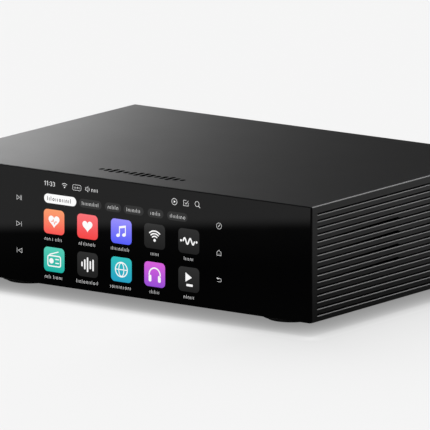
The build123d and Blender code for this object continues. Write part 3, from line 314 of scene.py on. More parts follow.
def glass_black(name):
    """Gloss glass over black, with faint wipe marks; faces turned from the front are matt."""
    surface = Surface(name)
    cloud = surface.noise(scale=14.0, detail=4.0, roughness=0.6)
    wipe = surface.noise(scale=40.0, roughness=0.6, stretch=(1.0, 1.0, 0.25))
    color = surface.ramp(cloud, [(0.3, (0.0011, 0.0011, 0.0012)),
                                 (0.7, (0.0015, 0.0015, 0.0017))])
    normal_y = surface.xyz(surface.node("NewGeometry").outputs["True Normal"])[1]
    edge = surface.math("GREATER_THAN", surface.math("ADD", normal_y, 0.0), -0.5)
    roughness = surface.math("ADD", surface.map_range(wipe, 0.030, 0.055, 0.35, 0.7),
                             surface.math("MULTIPLY", edge, 0.45))
    return surface.finish(color=color, roughness=roughness,
                          specular=surface.map_range(edge, 0.5, 0.05), ior=1.5)


def glow(name, bottom, top, z_low=CASE_BOTTOM, z_high=CASE_TOP, strength=1.0):
    """Lit screen area: a vertical colour run from z_low to z_high over a fine dot grid."""
    surface = Surface(name)
    x, _, z = surface.xyz(surface.coordinates)
    height = surface.map_range(z, 0.0, 1.0, z_low, z_high)
    dots_per_metre = 15800.0
    gap = 0.10      # dark share of each dot's width and height
    lit = [surface.math("GREATER_THAN", surface.math(
               "FRACT", surface.math("MULTIPLY", axis, dots_per_metre)), gap)
           for axis in (x, z)]
    grid = surface.math("MULTIPLY", *lit)
    return surface.finish(
        color=(0.002, 0.002, 0.002), roughness=0.04, specular=0.5,
        emission=surface.ramp(height, [(0.0, bottom), (1.0, top)]),
        emission_strength=surface.map_range(grid, strength * 0.90, strength * 1.01))


def fuse_material():
    """Pale body with metal caps beyond the middle of its length."""
    surface = Surface("fuse_glass_and_caps")
    y = surface.xyz(surface.coordinates)[1]
    low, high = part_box("fuse")
    from_middle = surface.math("ABSOLUTE", surface.math("SUBTRACT", y, (low.y + high.y) / 2))
    cap = surface.math("GREATER_THAN", from_middle, 0.0049)
    grain = surface.noise(scale=900.0, detail=2.0, roughness=0.5)
    cap_color = surface.mix(grain, (0.55, 0.54, 0.52), (0.68, 0.67, 0.64))
    return surface.finish(color=surface.mix(cap, (0.62, 0.64, 0.63), cap_color),
                          metallic=cap, roughness=surface.spread(grain, 0.12, 0.22))


def rca_insert_material():
    """Insulators: red below white on the -x side, orange below black... by quadrant."""
    surface = Surface("rca_insulators")
    x, _, z = surface.xyz(surface.coordinates)
    low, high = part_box("rca_inserts")
    right = surface.math("GREATER_THAN", x, (low.x + high.x) / 2)
    upper = surface.math("GREATER_THAN", z, (low.z + high.z) / 2)
    grain = surface.noise(scale=1200.0, detail=2.0, roughness=0.5)
    right_color = surface.mix(upper, (0.42, 0.012, 0.010), (0.66, 0.65, 0.62))
    left_color = surface.mix(upper, (0.52, 0.15, 0.01), (0.02, 0.02, 0.02))
    color = surface.mix(right, left_color, right_color)
    color = surface.mix(surface.spread(grain, 0.0, 0.12), color, (0.0, 0.0, 0.0))
    surface.bump(grain, strength=0.1, distance=0.00002)
    return surface.finish(color=color, roughness=surface.spread(grain, 0.26, 0.38))


def socket_metal(node):
    """Plated rim round a dark well with plated contacts across its middle."""
    surface = Surface(node + "_plated")
    low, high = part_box(node)
    rim_depth = 0.0007
    tongue_half_height = (high.z - low.z) * 0.10
    x, y, z = surface.xyz(surface.coordinates)
    deep = surface.math("LESS_THAN", y, high.y - rim_depth)
    grain = surface.noise(scale=1500.0, roughness=0.6)
    shell = surface.mix(grain, (0.52, 0.50, 0.46), (0.70, 0.68, 0.63))
    stripes = surface.math("FRACT", surface.math("MULTIPLY", x, 900.0))
    pins = surface.math("GREATER_THAN", stripes, 0.62)
    from_middle = surface.math("ABSOLUTE", surface.math("SUBTRACT", z, (low.z + high.z) / 2))
    tongue = surface.math("LESS_THAN", from_middle, tongue_half_height)
    contacts = surface.math("MULTIPLY", pins, tongue)
    well = surface.mix(contacts, (0.010, 0.010, 0.011), (0.30, 0.21, 0.09))
    surface.bump(grain, strength=0.12, distance=0.00002)
    return surface.finish(
        color=surface.mix(deep, shell, well), metallic=surface.math("SUBTRACT", 1.0, deep),
        roughness=surface.spread(grain, 0.22, 0.36), specular=0.35)


def assign(node, material):
    ob = NODES[node]
    if not ob.material_slots:
        ob.data.materials.append(material)
    for slot in ob.material_slots:
        slot.material = material


ANTENNA_PARTS = ("antenna_left_base", "antenna_left_blade",
                 "antenna_right_base", "antenna_right_blade")

# Each material and the frame's pieces that wear it
FINISHES = (
    # the case's anodising also carries a painted highlight on its chamfers and painted shade on
    # its flanks, grooves and front edge
    (anodised("case_anodised", grey=0.0085, roughness=0.40, paint_light=True), ("top_cover",)),
    (anodised("panel_anodised", grey=0.018, roughness=0.45), ("rear_panel",)),
    (anodised("feet_anodised", grey=0.018, roughness=0.38), ("feet",)),
    (powder("chassis_powder", (0.016, 0.016, 0.017), roughness=0.55, scale=2200.0, bump=0.35),
     ("bottom_plate", "ssd_cover")),
    (glass_black("cover_glass"), ("front_glass",)),
    (rubber("adhesive", (0.05, 0.05, 0.05), roughness=0.8), ("glass_adhesive",)),
    (powder("frame_moulding", (0.02, 0.02, 0.02), roughness=0.55), ("front_frame",)),
    (powder("display_cell", (0.012, 0.012, 0.016), roughness=0.2, scale=1800.0, bump=0.05),
     ("display_module",)),
    (board("circuit_board"),
     ("touch_board_left", "touch_board_right", "main_board", "dac_board", "psu_board",
      "ssd_module")),
    (powder("moulded_packages", (0.014, 0.014, 0.015), roughness=0.45, scale=3200.0, bump=0.2),
     ("main_board_parts", "dac_board_parts", "psu_board_parts")),
    (powder("polyimide_ribbon", (0.36, 0.13, 0.02), roughness=0.3, scale=900.0, bump=0.08),
     ("display_ribbon",)),
    (rubber("foot_rubber"), ("foot_pads", "transformer_pads")),
    (metal("black_zinc", (0.06, 0.06, 0.062), roughness=0.34),
     ("foot_screws", "bottom_screws", "rear_screws", "frame_screws", "ssd_cover_screws")),
    (metal("zinc_plate", (0.62, 0.61, 0.59), roughness=0.28),
     ("board_standoffs", "board_screws", "transformer_washer", "transformer_bolt")),
    (anodised("heatsink_anodised", grey=0.02, roughness=0.42), ("processor_heatsink",)),
    (powder("capacitor_sleeve", (0.012, 0.02, 0.07), roughness=0.25, scale=1200.0, bump=0.05),
     ("psu_capacitors",)),
    (powder("winding_tape", (0.55, 0.33, 0.05), roughness=0.35, scale=700.0, bump=0.3),
     ("transformer",)),
    (rubber("wire_red", (0.30, 0.03, 0.02), roughness=0.45),
     ("transformer_leads", "mains_wires", "power_harness")),
    (rubber("coax_sheath", (0.02, 0.02, 0.02), roughness=0.5), ("antenna_leads",)),
    (powder("inlet_moulding", (0.016, 0.016, 0.016), roughness=0.42),
     ("mains_inlet", "fuse_drawer")),
    (powder("rocker_moulding", (0.012, 0.012, 0.012), roughness=0.25, scale=3000.0, bump=0.08),
     ("power_rocker",)),
    (metal("nickel_plate", (0.66, 0.63, 0.57), roughness=0.22), ("mains_pins",)),
    (metal("gold_plate", (0.86, 0.58, 0.22), roughness=0.20),
     ("rca_shells", "antenna_sockets", "antenna_nuts", "xlr_pins")),
    (powder("xlr_shell", (0.015, 0.015, 0.016), roughness=0.36, bump=0.15), ("xlr_sockets",)),
    (powder("socket_moulding", (0.014, 0.014, 0.014), roughness=0.35, scale=2400.0, bump=0.15),
     ("optical_sockets", "optical_flap_in", "optical_flap_out", "trigger_jack")),
    (powder("antenna_elastomer", (0.013, 0.013, 0.014), roughness=0.52, scale=1900.0, bump=0.3),
     ANTENNA_PARTS),
    (fuse_material(), ("fuse",)),
    (rca_insert_material(), ("rca_inserts",)),
)
for material, nodes in FINISHES:
    for node in nodes:
        assign(node, material)
for node in ("hdmi_socket", "usb_a_socket", "lan_socket", "usb_b_socket"):
    assign(node, socket_metal(node))


# ----------------------------------------------------------------------------
# Flat artwork: closed loops of (u, v) in millimetres
# ----------------------------------------------------------------------------
def flat(name, loops, plane, thickness, material, body="case", lift=0.0):
    """Fill the loops on a plane, an inner loop being a hole. Thickness, lift in metres."""
    curve = bpy.data.curves.new(name + "_c", "CURVE")
    curve.dimensions = "2D"
    curve.fill_mode = "BOTH"
    curve.extrude = thickness / 2 * 1000.0
    for loop in loops:
        spline = curve.splines.new("POLY")
        spline.points.add(len(loop) - 1)
        for point, (u, v) in zip(spline.points, loop):
            point.co = (u, v, 0.0, 1.0)
        spline.use_cyclic_u = True
    outline = bpy.data.objects.new(name + "_c", curve)
    bpy.context.scene.collection.objects.link(outline)
    bpy.context.view_layer.update()
    filled = outline.evaluated_get(bpy.context.evaluated_depsgraph_get())
    mesh = bpy.data.meshes.new_from_object(filled)
    bpy.data.objects.remove(outline)
    bpy.data.curves.remove(curve)

    origin, u_dir, v_dir, out = plane
    rows = [(u_dir[i] * MM, v_dir[i] * MM, out[i] * MM,
             origin[i] + out[i] * (lift + thickness / 2)) for i in range(3)]
    mesh.transform(Matrix(rows + [(0, 0, 0, 1)]))
    bm = bmesh.new()
    bm.from_mesh(mesh)
    bmesh.ops.remove_doubles(bm, verts=bm.verts, dist=1e-7)
    bmesh.ops.dissolve_degenerate(bm, dist=1e-7, edges=bm.edges)
    bmesh.ops.recalc_face_normals(bm, faces=bm.faces)
    bm.to_mesh(mesh)
    bm.free()
    mesh.name = name
    ob = bpy.data.objects.new(name, mesh)
    bpy.context.scene.collection.objects.link(ob)
    mesh.materials.clear()
    mesh.materials.append(material)
    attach(ob, body)


def arc(x, z, angles, radius, radius_z=None):
    """Points at the given angles in degrees on a circle, or an ellipse with radius_z."""
    if radius_z is None:
        radius_z = radius
    return [(x + radius * math.cos(math.radians(angle)),
             z + radius_z * math.sin(math.radians(angle))) for angle in angles]


def circle(x, z, radius, count):
    return arc(x, z, [360.0 * i / count for i in range(count)], radius)


def box(x0, z0, x1, z1):
    return [(x0, z0), (x1, z0), (x1, z1), (x0, z1)]


def rounded_box(x, z, width, height, radius, steps=8):
    """Rounded rectangle centred on x, z."""
    points = []
    radius = min(radius, width / 2 - 1e-4, height / 2 - 1e-4)
    for side_x, side_z, start in ((1, 1, 0), (-1, 1, 90), (-1, -1, 180), (1, -1, 270)):
        points += arc(x + side_x * (width / 2 - radius), z + side_z * (height / 2 - radius),
                      [start + 90 * i / steps for i in range(steps + 1)], radius)
    return points


def round_cap(end, before, width):
    """Points round the end of a stroke, between its two edges."""
    direction = (end - before).normalized()
    heading = math.atan2(direction.y, direction.x)
    angles = [heading + math.radians(turn) for turn in (60, 30, 0, -30, -60)]
    return [(end.x + width / 2 * math.cos(a), end.y + width / 2 * math.sin(a)) for a in angles]


def stroke(path, width, closed=False, caps=True):
    """Loops of a stroke along the path, mitred at its corners."""
    points = [Vector(point) for point in path]
    count = len(points)
    left, right = [], []
    for i, point in enumerate(points):
        directions = []
        if closed or i > 0:
            directions.append((point - points[i - 1]).normalized())
        if closed or i < count - 1:
            directions.append((points[(i + 1) % count] - point).normalized())
        normals = [Vector((-direction.y, direction.x)) for direction in directions]
        normal, reach = normals[0], 1.0
        if len(normals) == 2:
            normal = (normals[0] + normals[1]).normalized()
            reach = 1.0 / max(0.45, normal.dot(normals[0]))
        left.append(tuple(point + normal * width / 2 * reach))
        right.append(tuple(point - normal * width / 2 * reach))
    if closed:
        return [left, right]
    end_cap = round_cap(points[-1], points[-2], width) if caps else []
    start_cap = round_cap(points[0], points[1], width) if caps else []
    return [left + end_cap + right[::-1] + start_cap]


def line(x0, z0, x1, z1, width, caps=True):
    return stroke([(x0, z0), (x1, z1)], width, caps=caps)


mark_random = random.Random(11)


def mock_text(x, z, height, words, width=0.22):
    """Bars, rings and arches that only suggest lettering.

    It starts at x and is centred on z; height is a tall mark's, words are word lengths,
    width is the stroke's.
    """
    loops = []
    short = height * 0.72
    ring_width, arch_width = short * 0.84, short * 0.74
    base = z - height / 2
    last = None
    for word in words:
        end = x + word
        while x < end - 0.25:
            kind = mark_random.choice(("bar", "tall", "ring", "arch", "bar", "tall"))
            if kind == last:
                kind = "bar"
            last = kind
            if kind in ("bar", "tall") or end - x < 1.0:
                top = base + (height if kind == "tall" else short)
                loops.append(box(x, base, x + width, top))
                x += width + 0.95
            elif kind == "ring":
                loops += stroke(arc(x + ring_width / 2, base + short / 2, range(0, 360, 30),
                                    ring_width / 2 - width / 2, short / 2 - width / 2),
                                width, closed=True)
                x += ring_width + 0.80
            else:
                # the negative radius runs the arc from left to right
                over = arc(x + arch_width / 2, base + short * 0.55, range(0, 181, 30),
                           -(arch_width / 2 - width / 2), short * 0.45 - width / 2)
                path = [(x + width / 2, base)] + over + [(x + arch_width - width / 2, base)]
                loops += stroke(path, width, caps=False)
                x += arch_width + 0.82
        x = end + 1.0
    return loops


# ----------------------------------------------------------------------------
# Screen tiles (mm from the case's middle and underside)
# ----------------------------------------------------------------------------
LAYER = 0.00002     # thickness of a printed or lit layer, metres


def lit(name, loops, material, lift=0.0):
    """A lit layer on the glass."""
    flat(name, loops, FRONT_PLANE, LAYER, material, lift=lift)


TILE_X = (-51.8, -25.1, 1.8, 28.2, 55.1)
TILE_Z = (41.7, 16.95)
TILE_CENTRES = [(x, z) for z in TILE_Z for x in TILE_X]
TILE_WIDTH, TILE_HEIGHT, TILE_RADIUS = 16.4, 16.0, 2.9
DARK_TILE = (srgb(31), srgb(47))
TILE_COLORS = (     # bottom colour, top colour
    (srgb(250, 86, 84), srgb(250, 156, 106)),
    (srgb(246, 70, 70), srgb(250, 110, 116)),
    (srgb(84, 94, 250), srgb(150, 142, 252)),
    DARK_TILE,
    DARK_TILE,
    (srgb(26, 174, 162), srgb(88, 206, 182)),
    DARK_TILE,
    (srgb(38, 160, 196), srgb(52, 192, 190)),
    (srgb(148, 78, 212), srgb(218, 98, 220)),
    DARK_TILE,
)
for k, ((x, z), (bottom, top)) in enumerate(zip(TILE_CENTRES, TILE_COLORS)):
    material = glow("tile_%d" % k, bottom, top,
                    z_low=CASE_BOTTOM + (z - TILE_HEIGHT / 2) * MM,
                    z_high=CASE_BOTTOM + (z + TILE_HEIGHT / 2) * MM)
    lit("screen_tile_%d" % k,
        [rounded_box(x, z, TILE_WIDTH, TILE_HEIGHT, TILE_RADIUS)], material)


# Tile glyphs: each returns loops about the tile's centre
def heart(x, z, size):
    points = []
    for i in range(48):
        t = 2 * math.pi * i / 48
        across = 16 * math.sin(t) ** 3
        up = 13 * math.cos(t) - 5 * math.cos(2 * t) - 2 * math.cos(3 * t) - math.cos(4 * t)
        points.append((x + across * size / 32, z + (up + 2.4) * size / 32))
    return points


def heart_with_pulse(x, z):
    """A heart with a zigzag pulse cut through it."""
    pulse = [(x - 2.4, z + 0.2), (x - 1.2, z + 0.2), (x - 0.6, z + 1.5),
             (x + 0.4, z - 1.4), (x + 1.1, z + 0.2), (x + 2.4, z + 0.2)]
    return [heart(x, z, 8.8)] + stroke(pulse, 0.52, caps=False)


def plain_heart(x, z):
    return [heart(x, z, 8.0)]


def spreading_arcs(x, z):
    """Three arcs over a dot."""
    loops = [circle(x, z - 2.5, 0.95, 24)]
    for radius in (2.6, 4.3, 6.0):
        loops += stroke(arc(x, z - 2.5, range(48, 133, 7), radius), 0.85)
    return loops


def wave(x, z):
    """Two swings of a wave between two dots."""
    path = [(x - 4.4 + 8.8 * i / 36, z + 1.9 * math.sin(4 * math.pi * i / 36))
            for i in range(37)]
    return stroke(path, 0.95) + [circle(x - 6.1, z, 0.75, 20), circle(x + 6.1, z, 0.75, 20)]


def pocket_radio(x, z):
    return (stroke(rounded_box(x, z - 0.9, 10.2, 6.8, 1.2, 5), 0.8, closed=True)
            + [circle(x - 2.2, z - 0.9, 1.75, 28)]
            + line(x + 1.2, z + 0.4, x + 3.6, z + 0.4, 0.7)
            + line(x + 1.2, z - 2.1, x + 3.6, z - 2.1, 0.7)
            + line(x - 3.6, z + 3.2, x + 3.2, z + 5.4, 0.7))


def level_bars(x, z):
    return [rounded_box(x - 4.4 + 2.2 * i, z, 1.15, height, 0.57, 4)
            for i, height in enumerate((3.2, 6.6, 9.6, 5.4, 7.6))]


def globe_outline(x, z):
    return stroke(circle(x, z, 4.7, 44), 0.75, closed=True)


def globe_lines(x, z):
    """A meridian, and an equator broken where the meridian crosses it."""
    loops = stroke(arc(x, z, range(0, 360, 12), 2.0, 4.35), 0.6, closed=True)
    for start, end in ((-4.3, -2.4), (-1.6, 1.6), (2.4, 4.3)):
        loops += line(x + start, z, x + end, z, 0.6, caps=False)
    return loops


def headphones(x, z):
    band = stroke(arc(x, z - 0.4, range(-8, 189, 10), 4.4, 4.6), 0.9)
    return band + [rounded_box(x + side * 3.7, z - 2.7, 2.2, 4.4, 0.9, 5) for side in (-1, 1)]


def play_over_bar(x, z):
    return [[(x - 2.6, z - 1.6), (x + 2.4, z + 1.4), (x - 2.6, z + 4.4)],
            rounded_box(x + 0.6, z - 3.7, 5.0, 1.5, 0.4, 4)]


def note_head(x, z):
    """Ellipse tilted by 20 degrees."""
    points = []
    tilt = math.radians(20)
    for i in range(20):
        t = 2 * math.pi * i / 20
        u, v = 1.75 * math.cos(t), 1.25 * math.sin(t)
        points.append((x + u * math.cos(tilt) - v * math.sin(tilt),
                       z + u * math.sin(tilt) + v * math.cos(tilt)))
    return points


def paired_notes(x, z):
    """Two heads, then the stems and beam as one loop."""
    scale = 0.88
    stems = [(x - 2.0, z - 2.8), (x - 1.25, z - 2.8), (x - 1.25, z + 2.3), (x + 3.35, z + 3.2),
             (x + 3.35, z - 2.0), (x + 4.1, z - 2.0), (x + 4.1, z + 5.0), (x - 2.0, z + 3.8)]
    loops = [note_head(x - 2.9, z - 3.0), note_head(x + 2.5, z - 2.2), stems]
    return [[(x + (u - x) * scale, z + (v - z) * scale) for u, v in loop] for loop in loops]


NOTES_TILE, GLOBE_TILE = 2, 7
TILE_GLYPHS = (     # tile, its glyph
    (0, heart_with_pulse), (1, plain_heart), (3, spreading_arcs), (4, wave), (5, pocket_radio),
    (6, level_bars), (GLOBE_TILE, globe_outline), (8, headphones), (9, play_over_bar),
)
WHITE = glow("screen_white", srgb(250), srgb(254))
GREY = glow("screen_grey", srgb(228), srgb(238))
DARK_PILL = glow("screen_dark_pill", srgb(34), srgb(37))

lit("screen_glyphs", [loop for k, glyph in TILE_GLYPHS for loop in glyph(*TILE_CENTRES[k])],
    WHITE, lift=LAYER)
*heads, stems = paired_notes(*TILE_CENTRES[NOTES_TILE])
lit("screen_note", [stems], WHITE, lift=LAYER)
lit("screen_note_heads", heads, WHITE, lift=LAYER * 1.05)
lit("screen_globe_lines", globe_lines(*TILE_CENTRES[GLOBE_TILE]), WHITE, lift=LAYER)

CAPTION_Z = (30.4, 5.6)
CAPTIONS = (        # per row of tiles: left end, word lengths
    ((-59.4, [5.2, 1.4, 5.6]), (-32.0, [2.6, 9.8]), (-6.4, [5.0, 9.2]), (25.1, [6.6]),
     (51.3, [7.6])),
    ((-59.3, [5.8, 7.4]), (-34.0, [17.2]), (-7.0, [9.4, 6.4]), (24.3, [7.6]), (51.0, [8.2])),
)
captions = []
for z, row in zip(CAPTION_Z, CAPTIONS):
    for x, words in row:
        captions += mock_text(x, z, 2.35, words)
lit("screen_captions", captions, GREY)

# ----------------------------------------------------------------------------
# Tabs above the tiles
# ----------------------------------------------------------------------------
TAB_Z = 56.7
TAB_HEIGHT = 5.6
TABS = (            # left end, right end, word length
    (-31.7, -13.9, 13.2), (-11.2, 1.7, 8.2), (3.7, 19.5, 11.0), (22.7, 35.2, 7.8),
    (38.1, 54.1, 11.4),
)
lit("screen_tab_active", [rounded_box(-46.85, TAB_Z, 25.7, 6.0, 3.0, 10)], WHITE)
lit("screen_tabs", [rounded_box((left + right) / 2, TAB_Z, right - left, TAB_HEIGHT,
                                TAB_HEIGHT / 2) for left, right, _ in TABS], DARK_PILL)
INK = glow("screen_ink", srgb(20), srgb(26))
lit("screen_tab_active_word", mock_text(-57.2, TAB_Z, 2.8, [7.0, 11.6], width=0.44), INK,
    lift=LAYER)
tab_words = []
for left, right, word in TABS:
    tab_words += mock_text((left + right) / 2 - word / 2, TAB_Z, 2.5, [word])
lit("screen_tab_words", tab_words, GREY, lift=LAYER)


# ----------------------------------------------------------------------------
# Status bar along the top of the screen
# ----------------------------------------------------------------------------
def clock(x, z):
    """11:33 in plain strokes; z is the foot of the figures."""
    loops = []
    for figure in "11:33":
        if figure == ":":
            loops += [circle(x + 0.28, z + 0.65, 0.24, 12), circle(x + 0.28, z + 2.0, 0.24, 12)]
            x += 0.85
        elif figure == "1":
            loops += stroke([(x + 0.15, z + 2.2), (x + 0.8, z + 2.75), (x + 0.8, z)], 0.33,
                            caps=False)
            x += 1.8
        else:
            path = arc(x + 0.82, z + 2.05, range(150, -76, -25), 0.72, 0.66)
            path += arc(x + 0.82, z + 0.72, range(70, -151, -25), 0.80, 0.70)
            loops += stroke(path, 0.29, caps=False)
            x += 2.25
    return loops


def wireless(x, z):
    loops = [circle(x, z + 0.35, 0.42, 16)]
    for radius in (1.55, 2.75):
        loops += stroke(arc(x, z + 0.2, range(46, 135, 8), radius), 0.27)
    return loops


def badge():
    return (stroke(rounded_box(-33.5, 66.2, 6.7, 3.5, 0.9, 5), 0.18, closed=True)
            + mock_text(-35.7, 66.3, 1.7, [4.4], width=0.18))


def speaker(x, z):
    """Loudspeaker with one sound arc."""
    horn = [(x - 1.4, z - 0.75), (x - 0.5, z - 0.75), (x + 0.6, z - 1.75),
            (x + 0.6, z + 1.75), (x - 0.5, z + 0.75), (x - 1.4, z + 0.75)]
    return (stroke(horn, 0.20, closed=True)
            + stroke(arc(x + 0.6, z, range(-45, 46, 10), 1.2), 0.20))


def circled_triangle():
    return (stroke(circle(43.8, 66.1, 2.05, 30), 0.25, closed=True)
            + [[(43.35, 65.3), (44.75, 66.1), (43.35, 66.9)]])


def check_box():
    frame_path = [(54.7, 66.4), (54.7, 64.4), (51.0, 64.4), (51.0, 67.9), (53.0, 67.9)]
    return stroke(frame_path, 0.21) + stroke([(52.1, 66.3), (52.9, 65.5), (54.8, 67.8)], 0.21)


def magnifier():
    return (stroke(circle(61.6, 66.6, 1.6, 26), 0.24, closed=True)
            + line(62.75, 65.45, 63.9, 64.3, 0.26))


lit("screen_clock", clock(-59.5, 65.0), WHITE)
lit("screen_status",
    wireless(-43.3, 64.9) + badge() + speaker(-25.2, 66.2)
    + mock_text(-21.9, 66.2, 2.8, [5.4], width=0.24)
    + circled_triangle() + check_box() + magnifier(), WHITE)

# ----------------------------------------------------------------------------
# Lit touch keys at both sides of the display
# ----------------------------------------------------------------------------
KEY_LEFT_X, KEY_RIGHT_X = -79.8, 78.75
KEY_STROKE = 0.26


def play_pause_key(x, z):
    loops = stroke([(x - 1.85, z - 1.45), (x + 0.25, z), (x - 1.85, z + 1.45)], KEY_STROKE,
                   closed=True)
    for bar_x in (x + 0.95, x + 1.85):
        loops += line(bar_x, z - 1.45, bar_x, z + 1.45, KEY_STROKE)
    return loops


def skip_key(x, z, way):
    """Triangle against a bar, pointing to +x (way 1) or -x (way -1)."""
    triangle = [(x - way * 2.1, z - 1.48), (x + way * 0.8, z), (x - way * 2.1, z + 1.48)]
    bar_x = x + way * 1.85
    return (stroke(triangle, KEY_STROKE, closed=True)
            + line(bar_x, z - 1.48, bar_x, z + 1.48, KEY_STROKE))


def dial_key(x, z):
    return (stroke(circle(x, z, 1.95, 32), KEY_STROKE, closed=True)
            + line(x - 0.6, z - 0.6, x + 0.65, z + 0.85, 0.4))


def home_key(x, z):
    house = [(x - 1.62, z - 1.6), (x + 1.62, z - 1.6), (x + 1.62, z + 0.45), (x, z + 1.8),
             (x - 1.62, z + 0.45)]
    return (stroke(house, KEY_STROKE, closed=True)
            + line(x - 0.6, z - 0.72, x + 0.6, z - 0.72, 0.14))


def back_key(x, z):
    """Arrow that turns back to the left."""
    path = [(x - 1.25, z - 1.4), (x + 0.75, z - 1.4)]
    path += arc(x + 0.75, z - 0.32, range(-75, 91, 15), 1.08) + [(x - 1.15, z + 0.76)]
    arrowhead = [(x - 1.1, z + 1.45), (x - 2.0, z + 0.76), (x - 1.1, z + 0.07)]
    return stroke(path, KEY_STROKE) + [arrowhead]


lit("touch_key_marks",
    play_pause_key(KEY_LEFT_X, 54.5)
    + skip_key(KEY_LEFT_X, 37.4, way=1)
    + skip_key(KEY_LEFT_X, 19.9, way=-1)
    + dial_key(KEY_RIGHT_X, 54.4)
    + home_key(KEY_RIGHT_X, 37.0)
    + back_key(KEY_RIGHT_X, 19.8),
    glow("key_light", srgb(196), srgb(206), strength=1.15))

# ----------------------------------------------------------------------------
# Lid mark: a row of sound bars
# ----------------------------------------------------------------------------
LID_MARK_X, LID_MARK_Y = -0.4, 25.4     # y is measured back from the glass
LID_BAR_PITCH, LID_BAR_WIDTH, LID_BAR_RADIUS = 4.95, 3.1, 1.5
LID_BAR_LENGTHS = (4.6, 7.4, 10.6, 8.6, 6.0, 8.2, 11.0, 11.0, 8.2, 6.0, 8.6, 10.6, 7.4, 4.6)
middle = (len(LID_BAR_LENGTHS) - 1) / 2
flat("lid_mark",
     [rounded_box(LID_MARK_X + (i - middle) * LID_BAR_PITCH, LID_MARK_Y, LID_BAR_WIDTH, length,
                  LID_BAR_RADIUS, 7) for i, length in enumerate(LID_BAR_LENGTHS)],
     LID_PLANE, 0.00003,
     printed("lid_ink", (0.0022, 0.0022, 0.0024), roughness=0.95, specular=0.0))

# ----------------------------------------------------------------------------
# Rear legends
# ----------------------------------------------------------------------------
LEGEND = printed("legend_ink", (0.42, 0.42, 0.42), roughness=0.5)
LEGEND_STROKE = 0.35
BRACKETS = (        # x of both ends, z of the bar
    (66.0, 126.0, 46.5), (28.0, 61.5, 46.5), (-1.0, 24.0, 24.0), (-31.5, -18.5, 24.0),
    (-69.5, -35.0, 28.5),
)
ARROWS = (          # x, z, 1 for up or -1 for down
    (96.0, 49.2, 1), (44.5, 49.2, 1), (18.0, 7.2, -1), (5.0, 7.2, 1), (-25.0, 7.2, -1),
    (-10.0, 7.2, 1),
)


def bracket(x0, x1, z):
    """Bar with both ends turned down."""
    drop = 1.6
    return stroke([(x0, z - drop), (x0, z), (x1, z), (x1, z - drop)], LEGEND_STROKE, caps=False)


def arrow(x, z, way):
    head = [(x - 0.9, z + 0.3 * way), (x, z + 1.3 * way), (x + 0.9, z + 0.3 * way)]
    return (line(x, z - 1.3 * way, x, z + 1.2 * way, LEGEND_STROKE)
            + stroke(head, LEGEND_STROKE))


legends = []
for entry in BRACKETS:
    legends += bracket(*entry)
for entry in ARROWS:
    legends += arrow(*entry)
flat("rear_legends", legends, REAR_PLANE, LAYER, LEGEND)

# On and off marks in the planes of the tilted rocker's two faces
ROCKER_TILT = math.radians(-8.0)
ROCKER_PIVOT = Vector(next(joint["pos_m"] for joint in frame["joints"]
                           if joint["child"] == "power_rocker"))
ROCKER_OUT = Vector((0, math.cos(ROCKER_TILT), math.sin(ROCKER_TILT)))
ROCKER_UP = Vector((0, -math.sin(ROCKER_TILT), math.cos(ROCKER_TILT)))
RIDGE_OUT, RIM_OUT, RIM_HEIGHT = 4.2, 5.5, 5.4      # the faces' inner and outer edges, mm


def rocker_face(side):
    """Plane of the rocker's upper (side 1) or lower (side -1) face."""
    inner = ROCKER_PIVOT + ROCKER_OUT * (RIDGE_OUT * MM)
    outer = (ROCKER_PIVOT + ROCKER_OUT * (RIM_OUT * MM)
             + ROCKER_UP * (side * RIM_HEIGHT * MM))
    upward = (outer - inner).normalized() * side
    return (inner, RIGHT, upward, upward.cross(RIGHT))


for name, loops, side in (
    ("rocker_on_mark", [rounded_box(0, 2.9, 0.7, 2.8, 0.3, 4)], 1),
    ("rocker_off_mark", stroke(circle(0, -2.9, 1.25, 28), 0.5, closed=True), -1),
):
    flat(name, loops, rocker_face(side), LAYER, LEGEND,
         body="power_rocker")

# ----------------------------------------------------------------------------
# Floor
# ---------------------------------------------------------------------------- Floor, with a painted shadow round and under the case
SUN_SHARE = 0.10                    # floor brightness that comes from the overhead sun
FLOOR_ALBEDO = 0.02
FLOOR_GLOW = 0.896 - SUN_SHARE      # glow of the open floor
UNDER_GLOW = 0.250                  # glow under the middle of the case, the deepest of the painted shadow
FLOOR_GLOW_REFLECTED = 0.07         # glow met by rays other than the camera's
SHADE_DEPTH = 0.155                 # wide shade on the right
SHADE_FALL = 0.065                  # metres over which it fades outwards
FLOOR_SHADOW_START, FLOOR_SHADOW_SPAN = 40, 60    # mm inside the outline where the painted-shadow table starts; its length
FLOOR_SHADOW_STOPS = (                     # mm outwards from the case's outline, share of the painted shadow
    (-40, 1.0), (-32, 0.973), (-28, 0.947), (-24, 0.923), (-20, 0.883), (-16, 0.841),
    (-12, 0.778), (-8, 0.683), (-4, 0.548), (-1, 0.405), (1, 0.35), (4, 0.225), (8, 0.053),
    (12, 0.0), (20, 0.0),
)


def quad(name, points, material):
    mesh = bpy.data.meshes.new(name)
    mesh.from_pydata([tuple(point) for point in points], [], [(0, 1, 2, 3)])
    mesh.materials.append(material)
    ob = bpy.data.objects.new(name, mesh)
    bpy.context.scene.collection.objects.link(ob)
    return ob


def level_square(half, z):
    return [(-half, -half, z), (half, -half, z), (half, half, z), (-half, half, z)]


